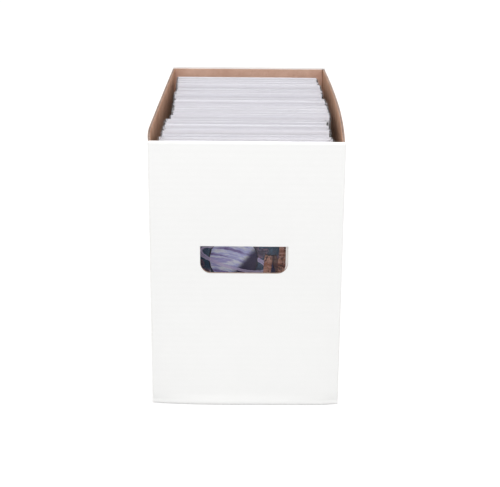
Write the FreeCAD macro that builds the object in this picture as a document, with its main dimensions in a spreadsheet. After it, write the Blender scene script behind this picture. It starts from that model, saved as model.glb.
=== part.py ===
import FreeCAD, Part
import os
import random
import Sketcher

Vector = FreeCAD.Vector
Rotation = FreeCAD.Rotation

# Comic book storage box of corrugated board, open at the top and full of bagged comics.
# Millimetres, +Z up, origin at the middle of the footprint on the ground.
# The front end, with the pushed-in hand hole, looks towards -Y, and the left wall is at -X.

doc = FreeCAD.newDocument("ComicBox")
sheet = doc.addObject("Spreadsheet::Sheet", "Sizes")

SIZES = {
    # one comic in its bag
    "comic_inset": 1.6,  # from a side of the backing board to the comic's side
    "comic_drop": 7.7,  # from the backing board's top to the comic's top
    "comic_thick": 1.7,
    "cover_thick": 0.25,
    "backing_wide": 171.5,
    "backing_high": 266.7,
    "backing_thick": 0.6,
    "bag_margin": 1.55,  # from a side of the backing board to the bag's seam
    "film_thick": 0.06,
    "film_slack": 0.03,
    "bag_flap": 38.0,
    "bag_mouth": 6.0,  # from the bag's top fold to its mouth behind
    "staple_wire": 0.5,
    "staple_crown": 12.0,
    "staple_leg": 4.0,
    "staple_inset": 62.0,  # from the comic's top or bottom to a staple's middle
    # the row of comics
    "comic_gap": 0.1,
    "row_clearance": 1.5,  # from a hand flap's reach to the nearest comic
    "ragged": 1.1,  # how far a comic stands out of its bundle's line
    # the board and how its panels meet
    "board": 3.2,
    "ply_gap": 0.3,
    "crease_radius": 2.6,
    "liner_gap": 0.5,
    # the box round the comics
    "side_room": 6.5,
    "headroom": 8.72,
    "box_long": 394.0,
    "wall_bow": 4.7,
    "bow_start": 1.0,  # from an end's innermost board to where the bow begins
    "left_apex": 76.0,  # from the front end to where the left wall stands out furthest
    "left_front_swell": 1.3,  # how far a half of the bow stands off its own chord
    "left_rear_swell": 0.2,
    "right_apex": 187.0,
    "right_front_swell": 1.4,
    "right_rear_swell": 0.9,
    # the folded rim of each end
    "hem_depth": 30.0,
    "rim_radius": 2.0,
    # the hand holes
    "hole_wide": 88.5,
    "hole_high": 29.0,
    "hole_below_rim": 107.2,
    "hole_aside": 2.0,  # how far the front hole sits left of the middle
    "hole_radius": 11.0,
    "hole_rise": 3.7,  # how much higher the holes in the inner layers are cut
    "hole_sag": 2.6,  # how much lower
    "hole_spare": 1.5,  # how much wider on each side, in the innermost layer
    "middle_aside": 2.2,  # how far the front middle flap's hole is off to the left
    "flap_gap": 0.3,
    "crease_land": 0.1,  # uncut paper left at the flap's crease
    "flap_open": 88.0,  # degrees
}

# Sideways place of each bundle of comics along the row, from front to rear.
BUNDLE_SHIFTS = (-1.2, -0.9, -0.4, 2.4, 2.6, 1.8, 0.8, 0.0, -0.6, -2.0)

for row, (alias, number) in enumerate(SIZES.items(), start=1):
    sheet.set(f"A{row}", alias)
    sheet.set(f"B{row}", str(number))
    sheet.setAlias(f"B{row}", alias)
for row, number in enumerate(BUNDLE_SHIFTS, start=1):
    sheet.set(f"D{row}", f"bundle_shift_{row}")
    sheet.set(f"E{row}", str(number))
    sheet.setAlias(f"E{row}", f"bundle_shift_{row}")
doc.recompute()


def cell(alias):
    return f"Sizes.{alias}"


def value(formula):
    return float(sheet.evalExpression(formula))


# Formulas for what follows from the sheet's sizes. Each is used by name from here on.
BOARD = cell("board")
COMIC_WIDE = "(Sizes.backing_wide - 2 * Sizes.comic_inset)"
COMIC_HIGH = "(Sizes.backing_high - Sizes.comic_drop)"
BAG_WIDE = "(Sizes.backing_wide + 2 * Sizes.bag_margin)"
BAG_SKIN = "(Sizes.film_thick + Sizes.film_slack)"
BAG_HIGH = f"(Sizes.backing_high + 2 * {BAG_SKIN})"
POUCH_THICK = (
    f"(2 * {BAG_SKIN} + Sizes.comic_thick + Sizes.film_slack + Sizes.backing_thick)"
)
BAG_THICK = f"({POUCH_THICK} + {BAG_SKIN})"
PITCH = f"({BAG_THICK} + Sizes.comic_gap)"

BOX_WIDE = f"({BAG_WIDE} + 2 * (Sizes.side_room + Sizes.board))"
BOX_HIGH = f"({BAG_HIGH} + 2 * Sizes.board + Sizes.headroom)"
BOX_LONG = cell("box_long")
WALL_HIGH = f"({BOX_HIGH} - Sizes.board - Sizes.ply_gap)"
INSIDE_WIDE = f"({BOX_WIDE} - 2 * Sizes.board)"
FRONT = f"(-{BOX_LONG} / 2)"
REAR = f"({BOX_LONG} / 2)"
LEFT = f"(-{BOX_WIDE} / 2)"
FLOOR = "(2 * Sizes.board)"

HOLE_TOP = f"({BOX_HIGH} - Sizes.hole_below_rim)"
HOLE_LOW = f"({HOLE_TOP} - Sizes.hole_high)"
FLAP_HIGH = "(Sizes.hole_high - Sizes.flap_gap)"
FLAP_REACH = f"sqrt({FLAP_HIGH} ^ 2 + Sizes.board ^ 2)"
ROW_START = f"({FRONT} + {FLAP_REACH} + Sizes.row_clearance)"
ROW_LONG = f"({BOX_LONG} - 2 * ({FLAP_REACH} + Sizes.row_clearance))"

sub_parts = []


def new_body(label, x=None, y=None, z=None):
    """An empty body for one sub-part, placed by formulas."""
    body = doc.addObject("PartDesign::Body", label)
    body.Label = label
    for axis, formula in (("x", x), ("y", y), ("z", z)):
        if formula is not None:
            body.setExpression(f"Placement.Base.{axis}", formula)
    sub_parts.append(body)
    return body


def new_sketch(body, name, role):
    """A sketch on one of the body's own origin planes."""
    sketch = body.newObject("Sketcher::SketchObject", name)
    plane = next(f for f in body.Origin.OriginFeatures if f.Role == role)
    sketch.AttachmentSupport = (plane, [""])
    sketch.MapMode = "FlatFace"
    return sketch


def bind(sketch, kind, points, formula):
    """A driving dimension that follows a formula."""
    index = sketch.addConstraint(Sketcher.Constraint(kind, *points, value(formula)))
    sketch.setExpression(f"Constraints[{index}]", formula)


def place(sketch, kind, geometry, point, formula):
    """The distance of a point from the sketch's own axis, which may be nothing."""
    if formula is None:
        axis = -2 if kind == "DistanceX" else -1
        sketch.addConstraint(
            Sketcher.Constraint("PointOnObject", geometry, point, axis)
        )
    else:
        bind(sketch, kind, (-1, 1, geometry, point), formula)


def add_rectangle(sketch, wide, high, left=None, low=None):
    """A rectangle, with its lower left corner at the given distances from the origin."""
    x = value(left) if left else 0.0
    y = value(low) if low else 0.0
    dx = value(wide)
    dy = value(high)
    corners = [
        Vector(x, y),
        Vector(x + dx, y),
        Vector(x + dx, y + dy),
        Vector(x, y + dy),
    ]
    n = sketch.GeometryCount
    for k in range(4):
        sketch.addGeometry(Part.LineSegment(corners[k], corners[(k + 1) % 4]))
    for k in range(4):
        sketch.addConstraint(
            Sketcher.Constraint("Coincident", n + k, 2, n + (k + 1) % 4, 1)
        )
    for kind, line in (
        ("Horizontal", n),
        ("Vertical", n + 1),
        ("Horizontal", n + 2),
        ("Vertical", n + 3),
    ):
        sketch.addConstraint(Sketcher.Constraint(kind, line))
    bind(sketch, "DistanceX", (n, 1, n, 2), wide)
    bind(sketch, "DistanceY", (n + 1, 1, n + 1, 2), high)
    place(sketch, "DistanceX", n, 1, left)
    place(sketch, "DistanceY", n, 1, low)


def add_hand_hole(sketch, wide, high, radius, left=None, low=None):
    """A hand hole's outline: straight along the top, with both lower corners round."""
    x = value(left) if left else 0.0
    y = value(low) if low else 0.0
    dx = value(wide)
    dy = value(high)
    r = value(radius)
    n = sketch.GeometryCount
    bottom, right_arc, right, top, left_line, left_arc = range(n, n + 6)
    up = Vector(0, 0, 1)
    sketch.addGeometry(Part.LineSegment(Vector(x + r, y), Vector(x + dx - r, y)))
    circle = Part.Circle(Vector(x + dx - r, y + r), up, r)
    sketch.addGeometry(Part.ArcOfCircle(circle, 1.5 * 3.14159265, 2 * 3.14159265))
    sketch.addGeometry(Part.LineSegment(Vector(x + dx, y + r), Vector(x + dx, y + dy)))
    sketch.addGeometry(Part.LineSegment(Vector(x + dx, y + dy), Vector(x, y + dy)))
    sketch.addGeometry(Part.LineSegment(Vector(x, y + dy), Vector(x, y + r)))
    circle = Part.Circle(Vector(x + r, y + r), up, r)
    sketch.addGeometry(Part.ArcOfCircle(circle, 3.14159265, 1.5 * 3.14159265))
    for first, second in (
        (bottom, right_arc),
        (right_arc, right),
        (left_line, left_arc),
        (left_arc, bottom),
    ):
        sketch.addConstraint(Sketcher.Constraint("Tangent", first, 2, second, 1))
    sketch.addConstraint(Sketcher.Constraint("Coincident", right, 2, top, 1))
    sketch.addConstraint(Sketcher.Constraint("Coincident", top, 2, left_line, 1))
    for kind, line in (
        ("Horizontal", bottom),
        ("Horizontal", top),
        ("Vertical", right),
        ("Vertical", left_line),
    ):
        sketch.addConstraint(Sketcher.Constraint(kind, line))
    sketch.addConstraint(Sketcher.Constraint("Equal", right_arc, left_arc))
    bind(sketch, "Radius", (right_arc,), radius)
    bind(sketch, "DistanceX", (top, 2, top, 1), wide)
    bind(sketch, "DistanceY", (bottom, 1, top, 1), high)
    place(sketch, "DistanceX", left_line, 1, left)
    place(sketch, "DistanceY", bottom, 1, low)


def add_pad(body, sketch, length, towards_sketch_back=False):
    """A pad of a sketch, along its normal or against it."""
    pad = body.newObject("PartDesign::Pad", "Pad")
    pad.Profile = sketch
    sketch.Visibility = False
    pad.setExpression("Length", length)
    pad.Reversed = towards_sketch_back
    doc.recompute()
    return pad


def edges_at(feature, **place_of):
    """Names of the straight edges whose two ends lie at the given coordinates."""
    names = []
    for number, edge in enumerate(feature.Shape.Edges, start=1):
        ends = [vertex.Point for vertex in edge.Vertexes]
        if all(
            abs(getattr(end, axis) - place_of[axis]) < 0.001
            for end in ends
            for axis in place_of
        ):
            names.append(f"Edge{number}")
    return names


def round_edges(body, feature, names, radius):
    fillet = body.newObject("PartDesign::Fillet", "Crease")
    fillet.Base = (feature, names)
    fillet.setExpression("Radius", radius)
    doc.recompute()
    return fillet


# The panels that lie flat: the bottom panel, and the loose liner on it.

bottom_long = f"({BOX_LONG} - 2 * Sizes.board)"
bottom = new_body(
    "bottom_panel", x=f"-{INSIDE_WIDE} / 2", y=f"{FRONT} + Sizes.board"
)
outline = new_sketch(bottom, "BottomOutline", "XY_Plane")
add_rectangle(outline, INSIDE_WIDE, bottom_long)
add_pad(bottom, outline, BOARD)

liner_wide = f"({INSIDE_WIDE} - 2 * Sizes.liner_gap)"
liner_long = f"({BOX_LONG} - 6 * Sizes.board - 2 * Sizes.liner_gap)"
liner = new_body(
    "floor_liner", x=f"-{liner_wide} / 2", y=f"-{liner_long} / 2", z=BOARD
)
outline = new_sketch(liner, "LinerOutline", "XY_Plane")
add_rectangle(outline, liner_wide, liner_long)
add_pad(liner, outline, BOARD)


# The two ends. Each is three boards thick, counted from the outside: the end panel, the
# right wall's end flap below the rim's hem, and the left wall's end flap.


def make_end(end, outer_y, inwards, hole_aside, middle_aside):
    """The layers of one end. inwards is 1 at the front and -1 at the rear."""
    front = inwards > 0

    def layer(number):
        """Formula of the lower of the two Y values that bound a layer."""
        if front:
            return f"{outer_y} + {number} * Sizes.board"
        return f"{outer_y} - {number + 1} * Sizes.board"

    hole_left = f"({BOX_WIDE} / 2 - Sizes.hole_wide / 2 - {hole_aside})"

    panel_high = f"({BOX_HIGH} - Sizes.board)"
    panel = new_body(f"{end}_end_panel", x=LEFT, y=layer(0))
    outline = new_sketch(panel, f"{end}_panel_outline", "XZ_Plane")
    add_rectangle(outline, BOX_WIDE, panel_high)
    add_hand_hole(
        outline,
        "Sizes.hole_wide",
        "Sizes.hole_high",
        "Sizes.hole_radius",
        hole_left,
        HOLE_LOW,
    )
    pad = add_pad(panel, outline, BOARD, towards_sketch_back=True)
    outer_face = 0.0 if front else value(BOARD)
    inner_face = value(BOARD) - outer_face
    crease = round_edges(
        panel, pad, edges_at(pad, y=outer_face, z=0.0), "Sizes.crease_radius"
    )
    bevel = panel.newObject("PartDesign::Chamfer", "FlapCrease")
    bevel.Base = (crease, edges_at(crease, y=inner_face, z=value(HOLE_TOP)))
    bevel.setExpression("Size", "Sizes.board - Sizes.crease_land")
    doc.recompute()

    # The rim: the panel's top strip turned over two layers and hanging in the second.
    rim_y = layer(0) if front else layer(1)
    hem = new_body(f"{end}_rim_hem", x=LEFT, y=rim_y, z=panel_high)
    section = new_sketch(hem, f"{end}_rim_section", "YZ_Plane")
    add_rectangle(section, "2 * Sizes.board", BOARD)
    pad = add_pad(hem, section, BOX_WIDE)
    top_edges = edges_at(pad, y=0.0, z=value(BOARD))
    top_edges += edges_at(pad, y=2 * value(BOARD), z=value(BOARD))
    round_edges(hem, pad, top_edges, "Sizes.rim_radius")
    strip = new_sketch(hem, f"{end}_hem_outline", "XY_Plane")
    add_rectangle(
        strip,
        f"({BOX_WIDE} - Sizes.board - 2 * Sizes.ply_gap)",
        BOARD,
        "Sizes.ply_gap",
        BOARD if front else None,
    )
    add_pad(hem, strip, "Sizes.hem_depth - Sizes.board", towards_sketch_back=True)

    # The right wall's end flap stops under the hem.
    middle_high = f"({BOX_HIGH} - Sizes.hem_depth - Sizes.ply_gap - Sizes.board)"
    middle = new_body(
        f"{end}_middle_flap", x=f"{LEFT} + Sizes.ply_gap", y=layer(1), z=BOARD
    )
    outline = new_sketch(middle, f"{end}_middle_outline", "XZ_Plane")
    middle_wide = f"({BOX_WIDE} - Sizes.board - Sizes.ply_gap)"
    add_rectangle(outline, middle_wide, middle_high)
    low = f"({HOLE_LOW} - Sizes.hole_sag - Sizes.board)"
    add_hand_hole(
        outline,
        "Sizes.hole_wide",
        "Sizes.hole_high + Sizes.hole_sag + Sizes.hole_rise",
        "Sizes.hole_radius",
        f"({hole_left} - {middle_aside} - Sizes.ply_gap)",
        low,
    )
    add_pad(middle, outline, BOARD, towards_sketch_back=True)

    # The left wall's end flap is as high as the walls.
    inner = new_body(
        f"{end}_inner_flap", x=f"{LEFT} + Sizes.board", y=layer(2), z=BOARD
    )
    outline = new_sketch(inner, f"{end}_inner_outline", "XZ_Plane")
    add_rectangle(
        outline, f"({INSIDE_WIDE} - Sizes.ply_gap)", f"({WALL_HIGH} - Sizes.board)"
    )
    add_hand_hole(
        outline,
        "Sizes.hole_wide + 2 * Sizes.hole_spare",
        "Sizes.hole_high + Sizes.hole_sag + Sizes.hole_rise",
        "Sizes.hole_radius",
        f"({hole_left} - Sizes.board - Sizes.hole_spare)",
        low,
    )
    add_pad(inner, outline, BOARD, towards_sketch_back=True)

    # The hand flap hangs from the crease along the hole's top edge. Its body's own origin
    # is on that crease, so that a turn of the body is a turn of the flap.
    flap_wide = f"(Sizes.hole_wide - 2 * Sizes.flap_gap - {middle_aside})"
    flap = new_body(
        f"{end}_hand_flap",
        x=f"{LEFT} + {hole_left} + Sizes.flap_gap",
        y=outer_y,
        z=HOLE_TOP,
    )
    outline = new_sketch(flap, f"{end}_flap_outline", "XZ_Plane")
    outline.setExpression("AttachmentOffset.Base.y", f"-{FLAP_HIGH}")
    add_hand_hole(
        outline,
        flap_wide,
        f"({FLAP_HIGH} - Sizes.flap_gap)",
        "Sizes.hole_radius - Sizes.flap_gap",
    )
    pad = add_pad(flap, outline, BOARD, towards_sketch_back=front)
    bevel = flap.newObject("PartDesign::Chamfer", "FlapCrease")
    inner_y = inwards * value(BOARD)
    bevel.Base = (pad, edges_at(pad, y=inner_y, z=-value("Sizes.flap_gap")))
    bevel.setExpression("Size", "Sizes.board - Sizes.crease_land")
    doc.recompute()
    return flap


front_flap = make_end("front", FRONT, 1, "Sizes.hole_aside", "Sizes.middle_aside")
make_end("rear", REAR, -1, "0", "0")

# The front flap is pushed in: it stands off the hole's top edge, into the box.
front_flap.Placement.Rotation = Rotation(Vector(1, 0, 0), value("Sizes.flap_open"))
front_flap.setExpression("Placement.Rotation.Angle", "Sizes.flap_open")


# The side walls. Their feet are straight, and above the floor they lean outwards to a top
# edge of two arcs that meet at the apex. The ends stay straight, where the flaps fold off.


def bow_arc(start, end, swell):
    """The arc over a chord, standing off its middle by the swell."""
    middle = (start + end) / 2 + Vector(swell, 0, 0)
    return Part.Arc(start, middle, end).toShape()


def wall_outline(side, face, ends, hand, bow, z):
    """A wall's section at one height: straight ends, and a bow between them."""
    start = value(f"{FRONT} + 3 * Sizes.board + Sizes.bow_start")
    stop = -start
    apex = value(f"{FRONT} + Sizes.{hand}_apex")
    front_swell = side * value(f"Sizes.{hand}_front_swell")
    rear_swell = side * value(f"Sizes.{hand}_rear_swell")
    low, high = ends

    def long_side(x):
        feet = [Vector(x, y, z) for y in (low, start, stop, high)]
        top = Vector(x + side * bow, apex, z)
        if bow:
            arcs = [
                bow_arc(feet[1], top, front_swell),
                bow_arc(top, feet[2], rear_swell),
            ]
        else:
            arcs = [
                Part.LineSegment(feet[1], top).toShape(),
                Part.LineSegment(top, feet[2]).toShape(),
            ]
        first = Part.LineSegment(feet[0], feet[1]).toShape()
        last = Part.LineSegment(feet[2], feet[3]).toShape()
        return [first, *arcs, last]

    inner = face - side * value(BOARD)
    edges = long_side(face)
    edges.append(
        Part.LineSegment(Vector(face, high, z), Vector(inner, high, z)).toShape()
    )
    edges += long_side(inner)[::-1]
    edges.append(
        Part.LineSegment(Vector(inner, low, z), Vector(face, low, z)).toShape()
    )
    return Part.Wire(edges)


def side_wall(hand, side, setback):
    """A side wall as one bowed board, with its creases round."""
    thick = value(BOARD)
    face = side * value(BOX_WIDE) / 2
    ends = (value(FRONT) + setback, value(REAR) - setback)
    foot_high = value(FLOOR)
    corner = Vector(min(face, face - side * thick), ends[0], 0)
    foot = Part.makeBox(thick, ends[1] - ends[0], foot_high, corner)
    bow = value("Sizes.wall_bow")
    low_outline = wall_outline(side, face, ends, hand, 0, foot_high)
    high_outline = wall_outline(side, face, ends, hand, bow, value(WALL_HIGH))
    upper = Part.makeLoft([low_outline, high_outline], True, True)
    wall = foot.fuse(upper).removeSplitter()

    creases = []
    for edge in wall.Edges:
        points = [vertex.Point for vertex in edge.Vertexes]
        on_face = all(abs(point.x - face) < 0.001 for point in points)
        at_bottom = all(point.z < 0.001 for point in points)
        at_end = any(all(abs(point.y - y) < 0.001 for point in points) for y in ends)
        upright = abs(points[0].z - points[-1].z) > 0.001
        if on_face and (at_bottom or (at_end and upright)):
            creases.append(edge)
    wall = wall.makeFillet(value("Sizes.crease_radius"), creases)

    feature = doc.addObject("Part::Feature", f"{hand}_side_wall")
    feature.Label = f"{hand}_side_wall"
    feature.Shape = wall
    feature.Placement = FreeCAD.Placement()
    sub_parts.append(feature)


side_wall("left", -1, 2 * value(BOARD))
side_wall("right", 1, value(BOARD))


# The comics. Each stands on the liner in its bag: the comic in front, cover towards the
# front end, the backing board behind it, and the bag's flap folded down behind both.
# Shapes are made once, with the bag's lower left front corner at the origin.

film = value("Sizes.film_thick")
skin = value(BAG_SKIN)
slack = value("Sizes.film_slack")
bag_wide = value(BAG_WIDE)
bag_high = value(BAG_HIGH)
pouch_thick = value(POUCH_THICK)
comic_thick = value("Sizes.comic_thick")
comic_wide = value(COMIC_WIDE)
comic_high = value(COMIC_HIGH)
backing_wide = value("Sizes.backing_wide")
backing_high = value("Sizes.backing_high")
backing_thick = value("Sizes.backing_thick")

comic_corner = Vector((bag_wide - comic_wide) / 2, skin, skin)
book = Part.makeBox(comic_wide, comic_thick, comic_high, comic_corner)
backing = Part.makeBox(
    backing_wide,
    backing_thick,
    backing_high,
    Vector((bag_wide - backing_wide) / 2, skin + comic_thick + slack, skin),
)


def make_bag():
    """A clear bag: a pouch with its mouth behind, and its flap folded down over that."""
    pouch = Part.makeBox(bag_wide, pouch_thick, bag_high)
    hollow = Part.makeBox(
        bag_wide - 2 * film,
        pouch_thick - 2 * film,
        bag_high - 2 * film,
        Vector(film, film, film),
    )
    mouth = value("Sizes.bag_mouth")
    opening = Part.makeBox(
        bag_wide - 2 * film,
        2 * film,
        mouth - film,
        Vector(film, pouch_thick - 1.5 * film, bag_high - mouth),
    )
    flap_long = value("Sizes.bag_flap")
    fold = Part.makeBox(bag_wide, skin, film, Vector(0, pouch_thick, bag_high - film))
    flap = Part.makeBox(
        bag_wide,
        film,
        flap_long,
        Vector(0, pouch_thick + slack, bag_high - flap_long),
    )
    return pouch.cut([hollow, opening]).fuse([fold, flap]).removeSplitter()


bag = make_bag()


def add_feature(label, shape, corner):
    """One sub-part from a finished shape, placed by its corner."""
    feature = doc.addObject("Part::Feature", label)
    feature.Label = label
    feature.Shape = shape
    feature.Placement = FreeCAD.Placement(corner, Rotation())
    sub_parts.append(feature)


row_start = value(ROW_START)
floor = value(FLOOR)
pitch = value(PITCH)
front_corner = Vector(value("Sizes.bundle_shift_1") - bag_wide / 2, row_start, floor)

# The first comic is taken apart: a cover folded round the pages at the spine, which is on
# the left, and two wire staples through both.
cover_thick = value("Sizes.cover_thick")
pages = Part.makeBox(
    comic_wide - cover_thick,
    comic_thick - 2 * cover_thick,
    comic_high,
    comic_corner + Vector(cover_thick, cover_thick, 0),
)
cover = book.cut(pages)
wire = value("Sizes.staple_wire")
crown = value("Sizes.staple_crown")
leg = value("Sizes.staple_leg")
staples = []
for middle in (value("Sizes.staple_inset"), comic_high - value("Sizes.staple_inset")):
    corner = comic_corner + Vector(-wire, (comic_thick - wire) / 2, middle - crown / 2)
    staple = Part.makeBox(wire, wire, crown, corner)
    for rise in (0, crown - wire):
        reach = Part.makeBox(leg, wire, wire, corner + Vector(0, 0, rise))
        staple = staple.fuse(reach)
    staples.append(staple.removeSplitter())
add_feature("front_comic_cover", cover.cut(staples), front_corner)
add_feature("front_comic_pages", pages.cut(staples), front_corner)
add_feature("front_comic_staples", Part.makeCompound(staples), front_corner)
add_feature("front_comic_backing_board", backing, front_corner)
add_feature("front_comic_bag", bag, front_corner)

# The rest of the row, in bundles that each lift out as one. The count follows from the
# room, and the bundles differ by at most one comic.
count = int((value(ROW_LONG) - value(BAG_THICK)) / pitch + 1e-6)
bundles = len(BUNDLE_SHIFTS)
chance = random.Random(7)
ragged = value("Sizes.ragged")
made = 0
for number in range(1, bundles + 1):
    until = round(count * number / bundles)
    shift = value(f"Sizes.bundle_shift_{number}")
    steps = []
    for k in range(until - made):
        aside = ragged * chance.uniform(-1, 1) ** 3
        steps.append(Vector(aside, k * pitch, 0))
    corner = Vector(shift - bag_wide / 2, row_start + (made + 1) * pitch, floor)
    made = until
    for kind, shape in (("books", book), ("backing_boards", backing), ("bags", bag)):
        copies = [shape.translated(step) for step in steps]
        add_feature(f"comics_{number:02d}_{kind}", Part.makeCompound(copies), corner)

doc.recompute()

for item in doc.Objects:
    if "Invalid" in item.State or "Error" in item.State:
        raise RuntimeError(f"{item.Label} did not recompute: {item.State}")
for item in sub_parts:
    if item.Shape.isNull() or not item.Shape.isValid():
        raise RuntimeError(f"{item.Label} has no valid shape")

os.makedirs("parts", exist_ok=True)
for item in sub_parts:
    item.Shape.exportStep(f"parts/{item.Label}.step")
everything = Part.makeCompound([item.Shape for item in sub_parts])
box = everything.optimalBoundingBox(False)
print(
    f"{len(sub_parts)} sub-parts, {count + 1} comics, "
    f"{box.XLength:.2f} x {box.YLength:.2f} x {box.ZLength:.2f} mm"
)
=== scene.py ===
import math
import random
from contextlib import contextmanager
from functools import partial

import bmesh
import bpy
from mathutils import Matrix, Vector


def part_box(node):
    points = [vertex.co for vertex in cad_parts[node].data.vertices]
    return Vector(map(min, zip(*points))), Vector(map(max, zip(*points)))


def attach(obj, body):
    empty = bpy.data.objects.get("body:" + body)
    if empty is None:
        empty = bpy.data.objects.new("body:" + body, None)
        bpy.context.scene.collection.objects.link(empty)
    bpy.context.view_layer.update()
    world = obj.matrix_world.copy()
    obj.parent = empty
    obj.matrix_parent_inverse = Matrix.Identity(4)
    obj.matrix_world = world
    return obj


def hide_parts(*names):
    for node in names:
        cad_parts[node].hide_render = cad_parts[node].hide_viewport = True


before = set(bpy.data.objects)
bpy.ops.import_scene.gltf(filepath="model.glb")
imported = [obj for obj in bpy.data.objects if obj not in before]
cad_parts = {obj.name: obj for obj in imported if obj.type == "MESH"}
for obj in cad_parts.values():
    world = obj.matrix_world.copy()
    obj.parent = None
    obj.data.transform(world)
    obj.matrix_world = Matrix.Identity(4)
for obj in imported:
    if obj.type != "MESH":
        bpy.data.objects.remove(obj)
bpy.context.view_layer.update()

# Comic book storage box: corrugated board, white outside and kraft inside, open at the top
# and full of bagged comics. Metres, +Z up, the front end towards -Y.

MM = 0.001
HAIR = 0.01 * MM  # what counts as the same place

# The board: two liner papers with a fluted paper between them.
LINER = 0.38 * MM
FLUTE_PAPER = 0.24 * MM
FLUTE_PITCH = 6.5 * MM
FLUTE_STEPS = 10
CREASE_RADIUS = 2.6 * MM
FOOT_RADIUS = 1.5 * MM  # the ends' crease at the floor, folded tighter
RIM_RADIUS = 2.0 * MM
RIM_CRUSH = 0.9 * MM  # how much thinner the board is where it rolls over the rim
ROLLED_INSET = 1.5 * MM
HEM_PLAY = 0.3 * MM  # between the hem's ends and the side walls
LINER_LAP = 0.02 * MM  # how far the end's inner liners stand off the middle between boards
LINER_UP = 0.4 * MM  # how far they reach into the rolled rim
SPARE = 5 * MM  # how far a cutter reaches past what it cuts
ARC_STEPS = 6
WALL_STATIONS = 24
WALL_SPARE = 0.5 * MM  # how far inside a wall's edges its bow is measured
WALL_CRUSH = 0.35 * MM  # how far each paper is pressed in at a wall's cut top edge
WALL_CRUSH_DEEP = 1.8 * MM

# The hand holes.
HOLE_WIDE = 88.5 * MM
HOLE_HIGH = 29.0 * MM
HOLE_BELOW_RIM = 107.2 * MM
HOLE_RADIUS = 11.0 * MM
FRONT_HOLE_ASIDE = 2.0 * MM
INNER_HOLE_RISE = 3.7 * MM
INNER_HOLE_SAG = 2.6 * MM
INNER_HOLE_SPARE = 1.5 * MM
MIDDLE_HOLE_ASIDE = 2.2 * MM
FLAP_GAP = 0.3 * MM
CREASE_LAND = 0.1 * MM  # paper left uncut at the flap's crease
CREASE_PLAY = 0.25 * MM
CREASE_RISE = 0.2 * MM  # what the panel's mitre clears above the flap's board
FLAP_OPEN = math.radians(88.0)

front_low, front_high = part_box("front_end_panel")
rim_low, rim_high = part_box("front_rim_hem")
foot_low, foot_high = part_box("floor_liner")
BOARD = front_high.y - front_low.y
BOX_HALF = rim_high.x
RIM_TOP = rim_high.z
HEM_LOW = rim_low.z
FLOOR = foot_high.z
HOLE_TOP = RIM_TOP - HOLE_BELOW_RIM
HOLE_LOW = HOLE_TOP - HOLE_HIGH

X, Y, Z = 0, 1, 2


# Handling the pieces as they are shaped.


def select_only(*pieces):
    if bpy.context.mode != "OBJECT":
        bpy.ops.object.mode_set(mode="OBJECT")
    bpy.ops.object.select_all(action="DESELECT")
    for piece in pieces:
        piece.select_set(True)
    bpy.context.view_layer.objects.active = pieces[-1]


@contextmanager
def editing(piece):
    """Edit mode on one piece, with all of it selected."""
    select_only(piece)
    bpy.ops.object.mode_set(mode="EDIT")
    bpy.ops.mesh.select_mode(type="VERT")
    bpy.ops.mesh.select_all(action="SELECT")
    yield
    bpy.ops.object.mode_set(mode="OBJECT")


def pick(kind, parts, facts, piece, test):
    """Selects the parts of the edited mesh whose facts pass the test."""
    bpy.ops.mesh.select_mode(type=kind)
    bpy.ops.mesh.select_all(action="DESELECT")
    mesh = bmesh.from_edit_mesh(piece.data)
    for part in getattr(mesh, parts):
        part.select_set(bool(test(*facts(part))))
    bmesh.update_edit_mesh(piece.data)


# Faces are told by their middle and normal, edges by their two ends, corners by their place.
pick_faces = partial(pick, "FACE", "faces", lambda f: (f.calc_center_median(), f.normal))
pick_edges = partial(pick, "EDGE", "edges", lambda e: (e.verts[0].co, e.verts[1].co))
pick_corners = partial(pick, "VERT", "verts", lambda v: (v.co,))


def same(first, second):
    return abs(first - second) < HAIR


def split_at(axis, *places):
    """Cuts new edges right across the edited piece, at places along an axis."""
    normal = Vector()
    normal[axis] = 1
    for place in places:
        bpy.ops.mesh.select_all(action="SELECT")
        bpy.ops.mesh.bisect(plane_co=place * normal, plane_no=normal, threshold=HAIR)


def lattice_over(middle, size, counts):
    """A lattice about a middle, with so many points along X, Y and Z."""
    bpy.ops.object.select_all(action="DESELECT")
    bpy.ops.object.add(type="LATTICE", location=middle)
    lattice = bpy.context.object
    lattice.scale = size
    for letter, count in zip("uvw", counts):
        setattr(lattice.data, f"points_{letter}", count)
    return lattice


def put_modifier(piece, kind, **settings):
    """Adds a modifier and applies it."""
    select_only(piece)
    modifier = piece.modifiers.new(kind.lower(), kind)
    for name, value in settings.items():
        setattr(modifier, name, value)
    bpy.ops.object.modifier_apply(modifier=modifier.name)


def block(name, low, high):
    """A block between two corners, its place in its mesh."""
    bpy.ops.object.select_all(action="DESELECT")
    bpy.ops.mesh.primitive_cube_add(size=1, location=(low + high) / 2)
    piece = bpy.context.object
    piece.name = name
    piece.scale = high - low
    bpy.ops.object.transform_apply(location=True, rotation=True, scale=True)
    return piece


def drawn_line(name, points):
    """A run of edges, drawn from one corner by extruding it from point to point."""
    bpy.ops.object.select_all(action="DESELECT")
    bpy.ops.mesh.primitive_plane_add(size=MM, location=points[0])
    piece = bpy.context.object
    piece.name = name
    with editing(piece):
        bpy.ops.mesh.merge(type="CENTER")
        for before, after in zip(points, points[1:]):
            step = {"value": after - before}
            bpy.ops.mesh.extrude_vertices_move(TRANSFORM_OT_translate=step)
    bpy.ops.object.transform_apply(location=True, rotation=True, scale=True)
    return piece


def sweep(piece, axis, stops):
    """Extrudes a drawn line along an axis, from stop to stop."""
    with editing(piece):
        for before, after in zip(stops, stops[1:]):
            step = Vector()
            step[axis] = after - before
            bpy.ops.mesh.extrude_edges_move(TRANSFORM_OT_translate={"value": step})


def face_towards(piece, direction):
    """Turns a sheet over if its largest face looks the other way."""
    largest = max(piece.data.polygons, key=lambda face: face.area)
    if largest.normal.dot(direction) < 0:
        with editing(piece):
            bpy.ops.mesh.flip_normals()


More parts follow.
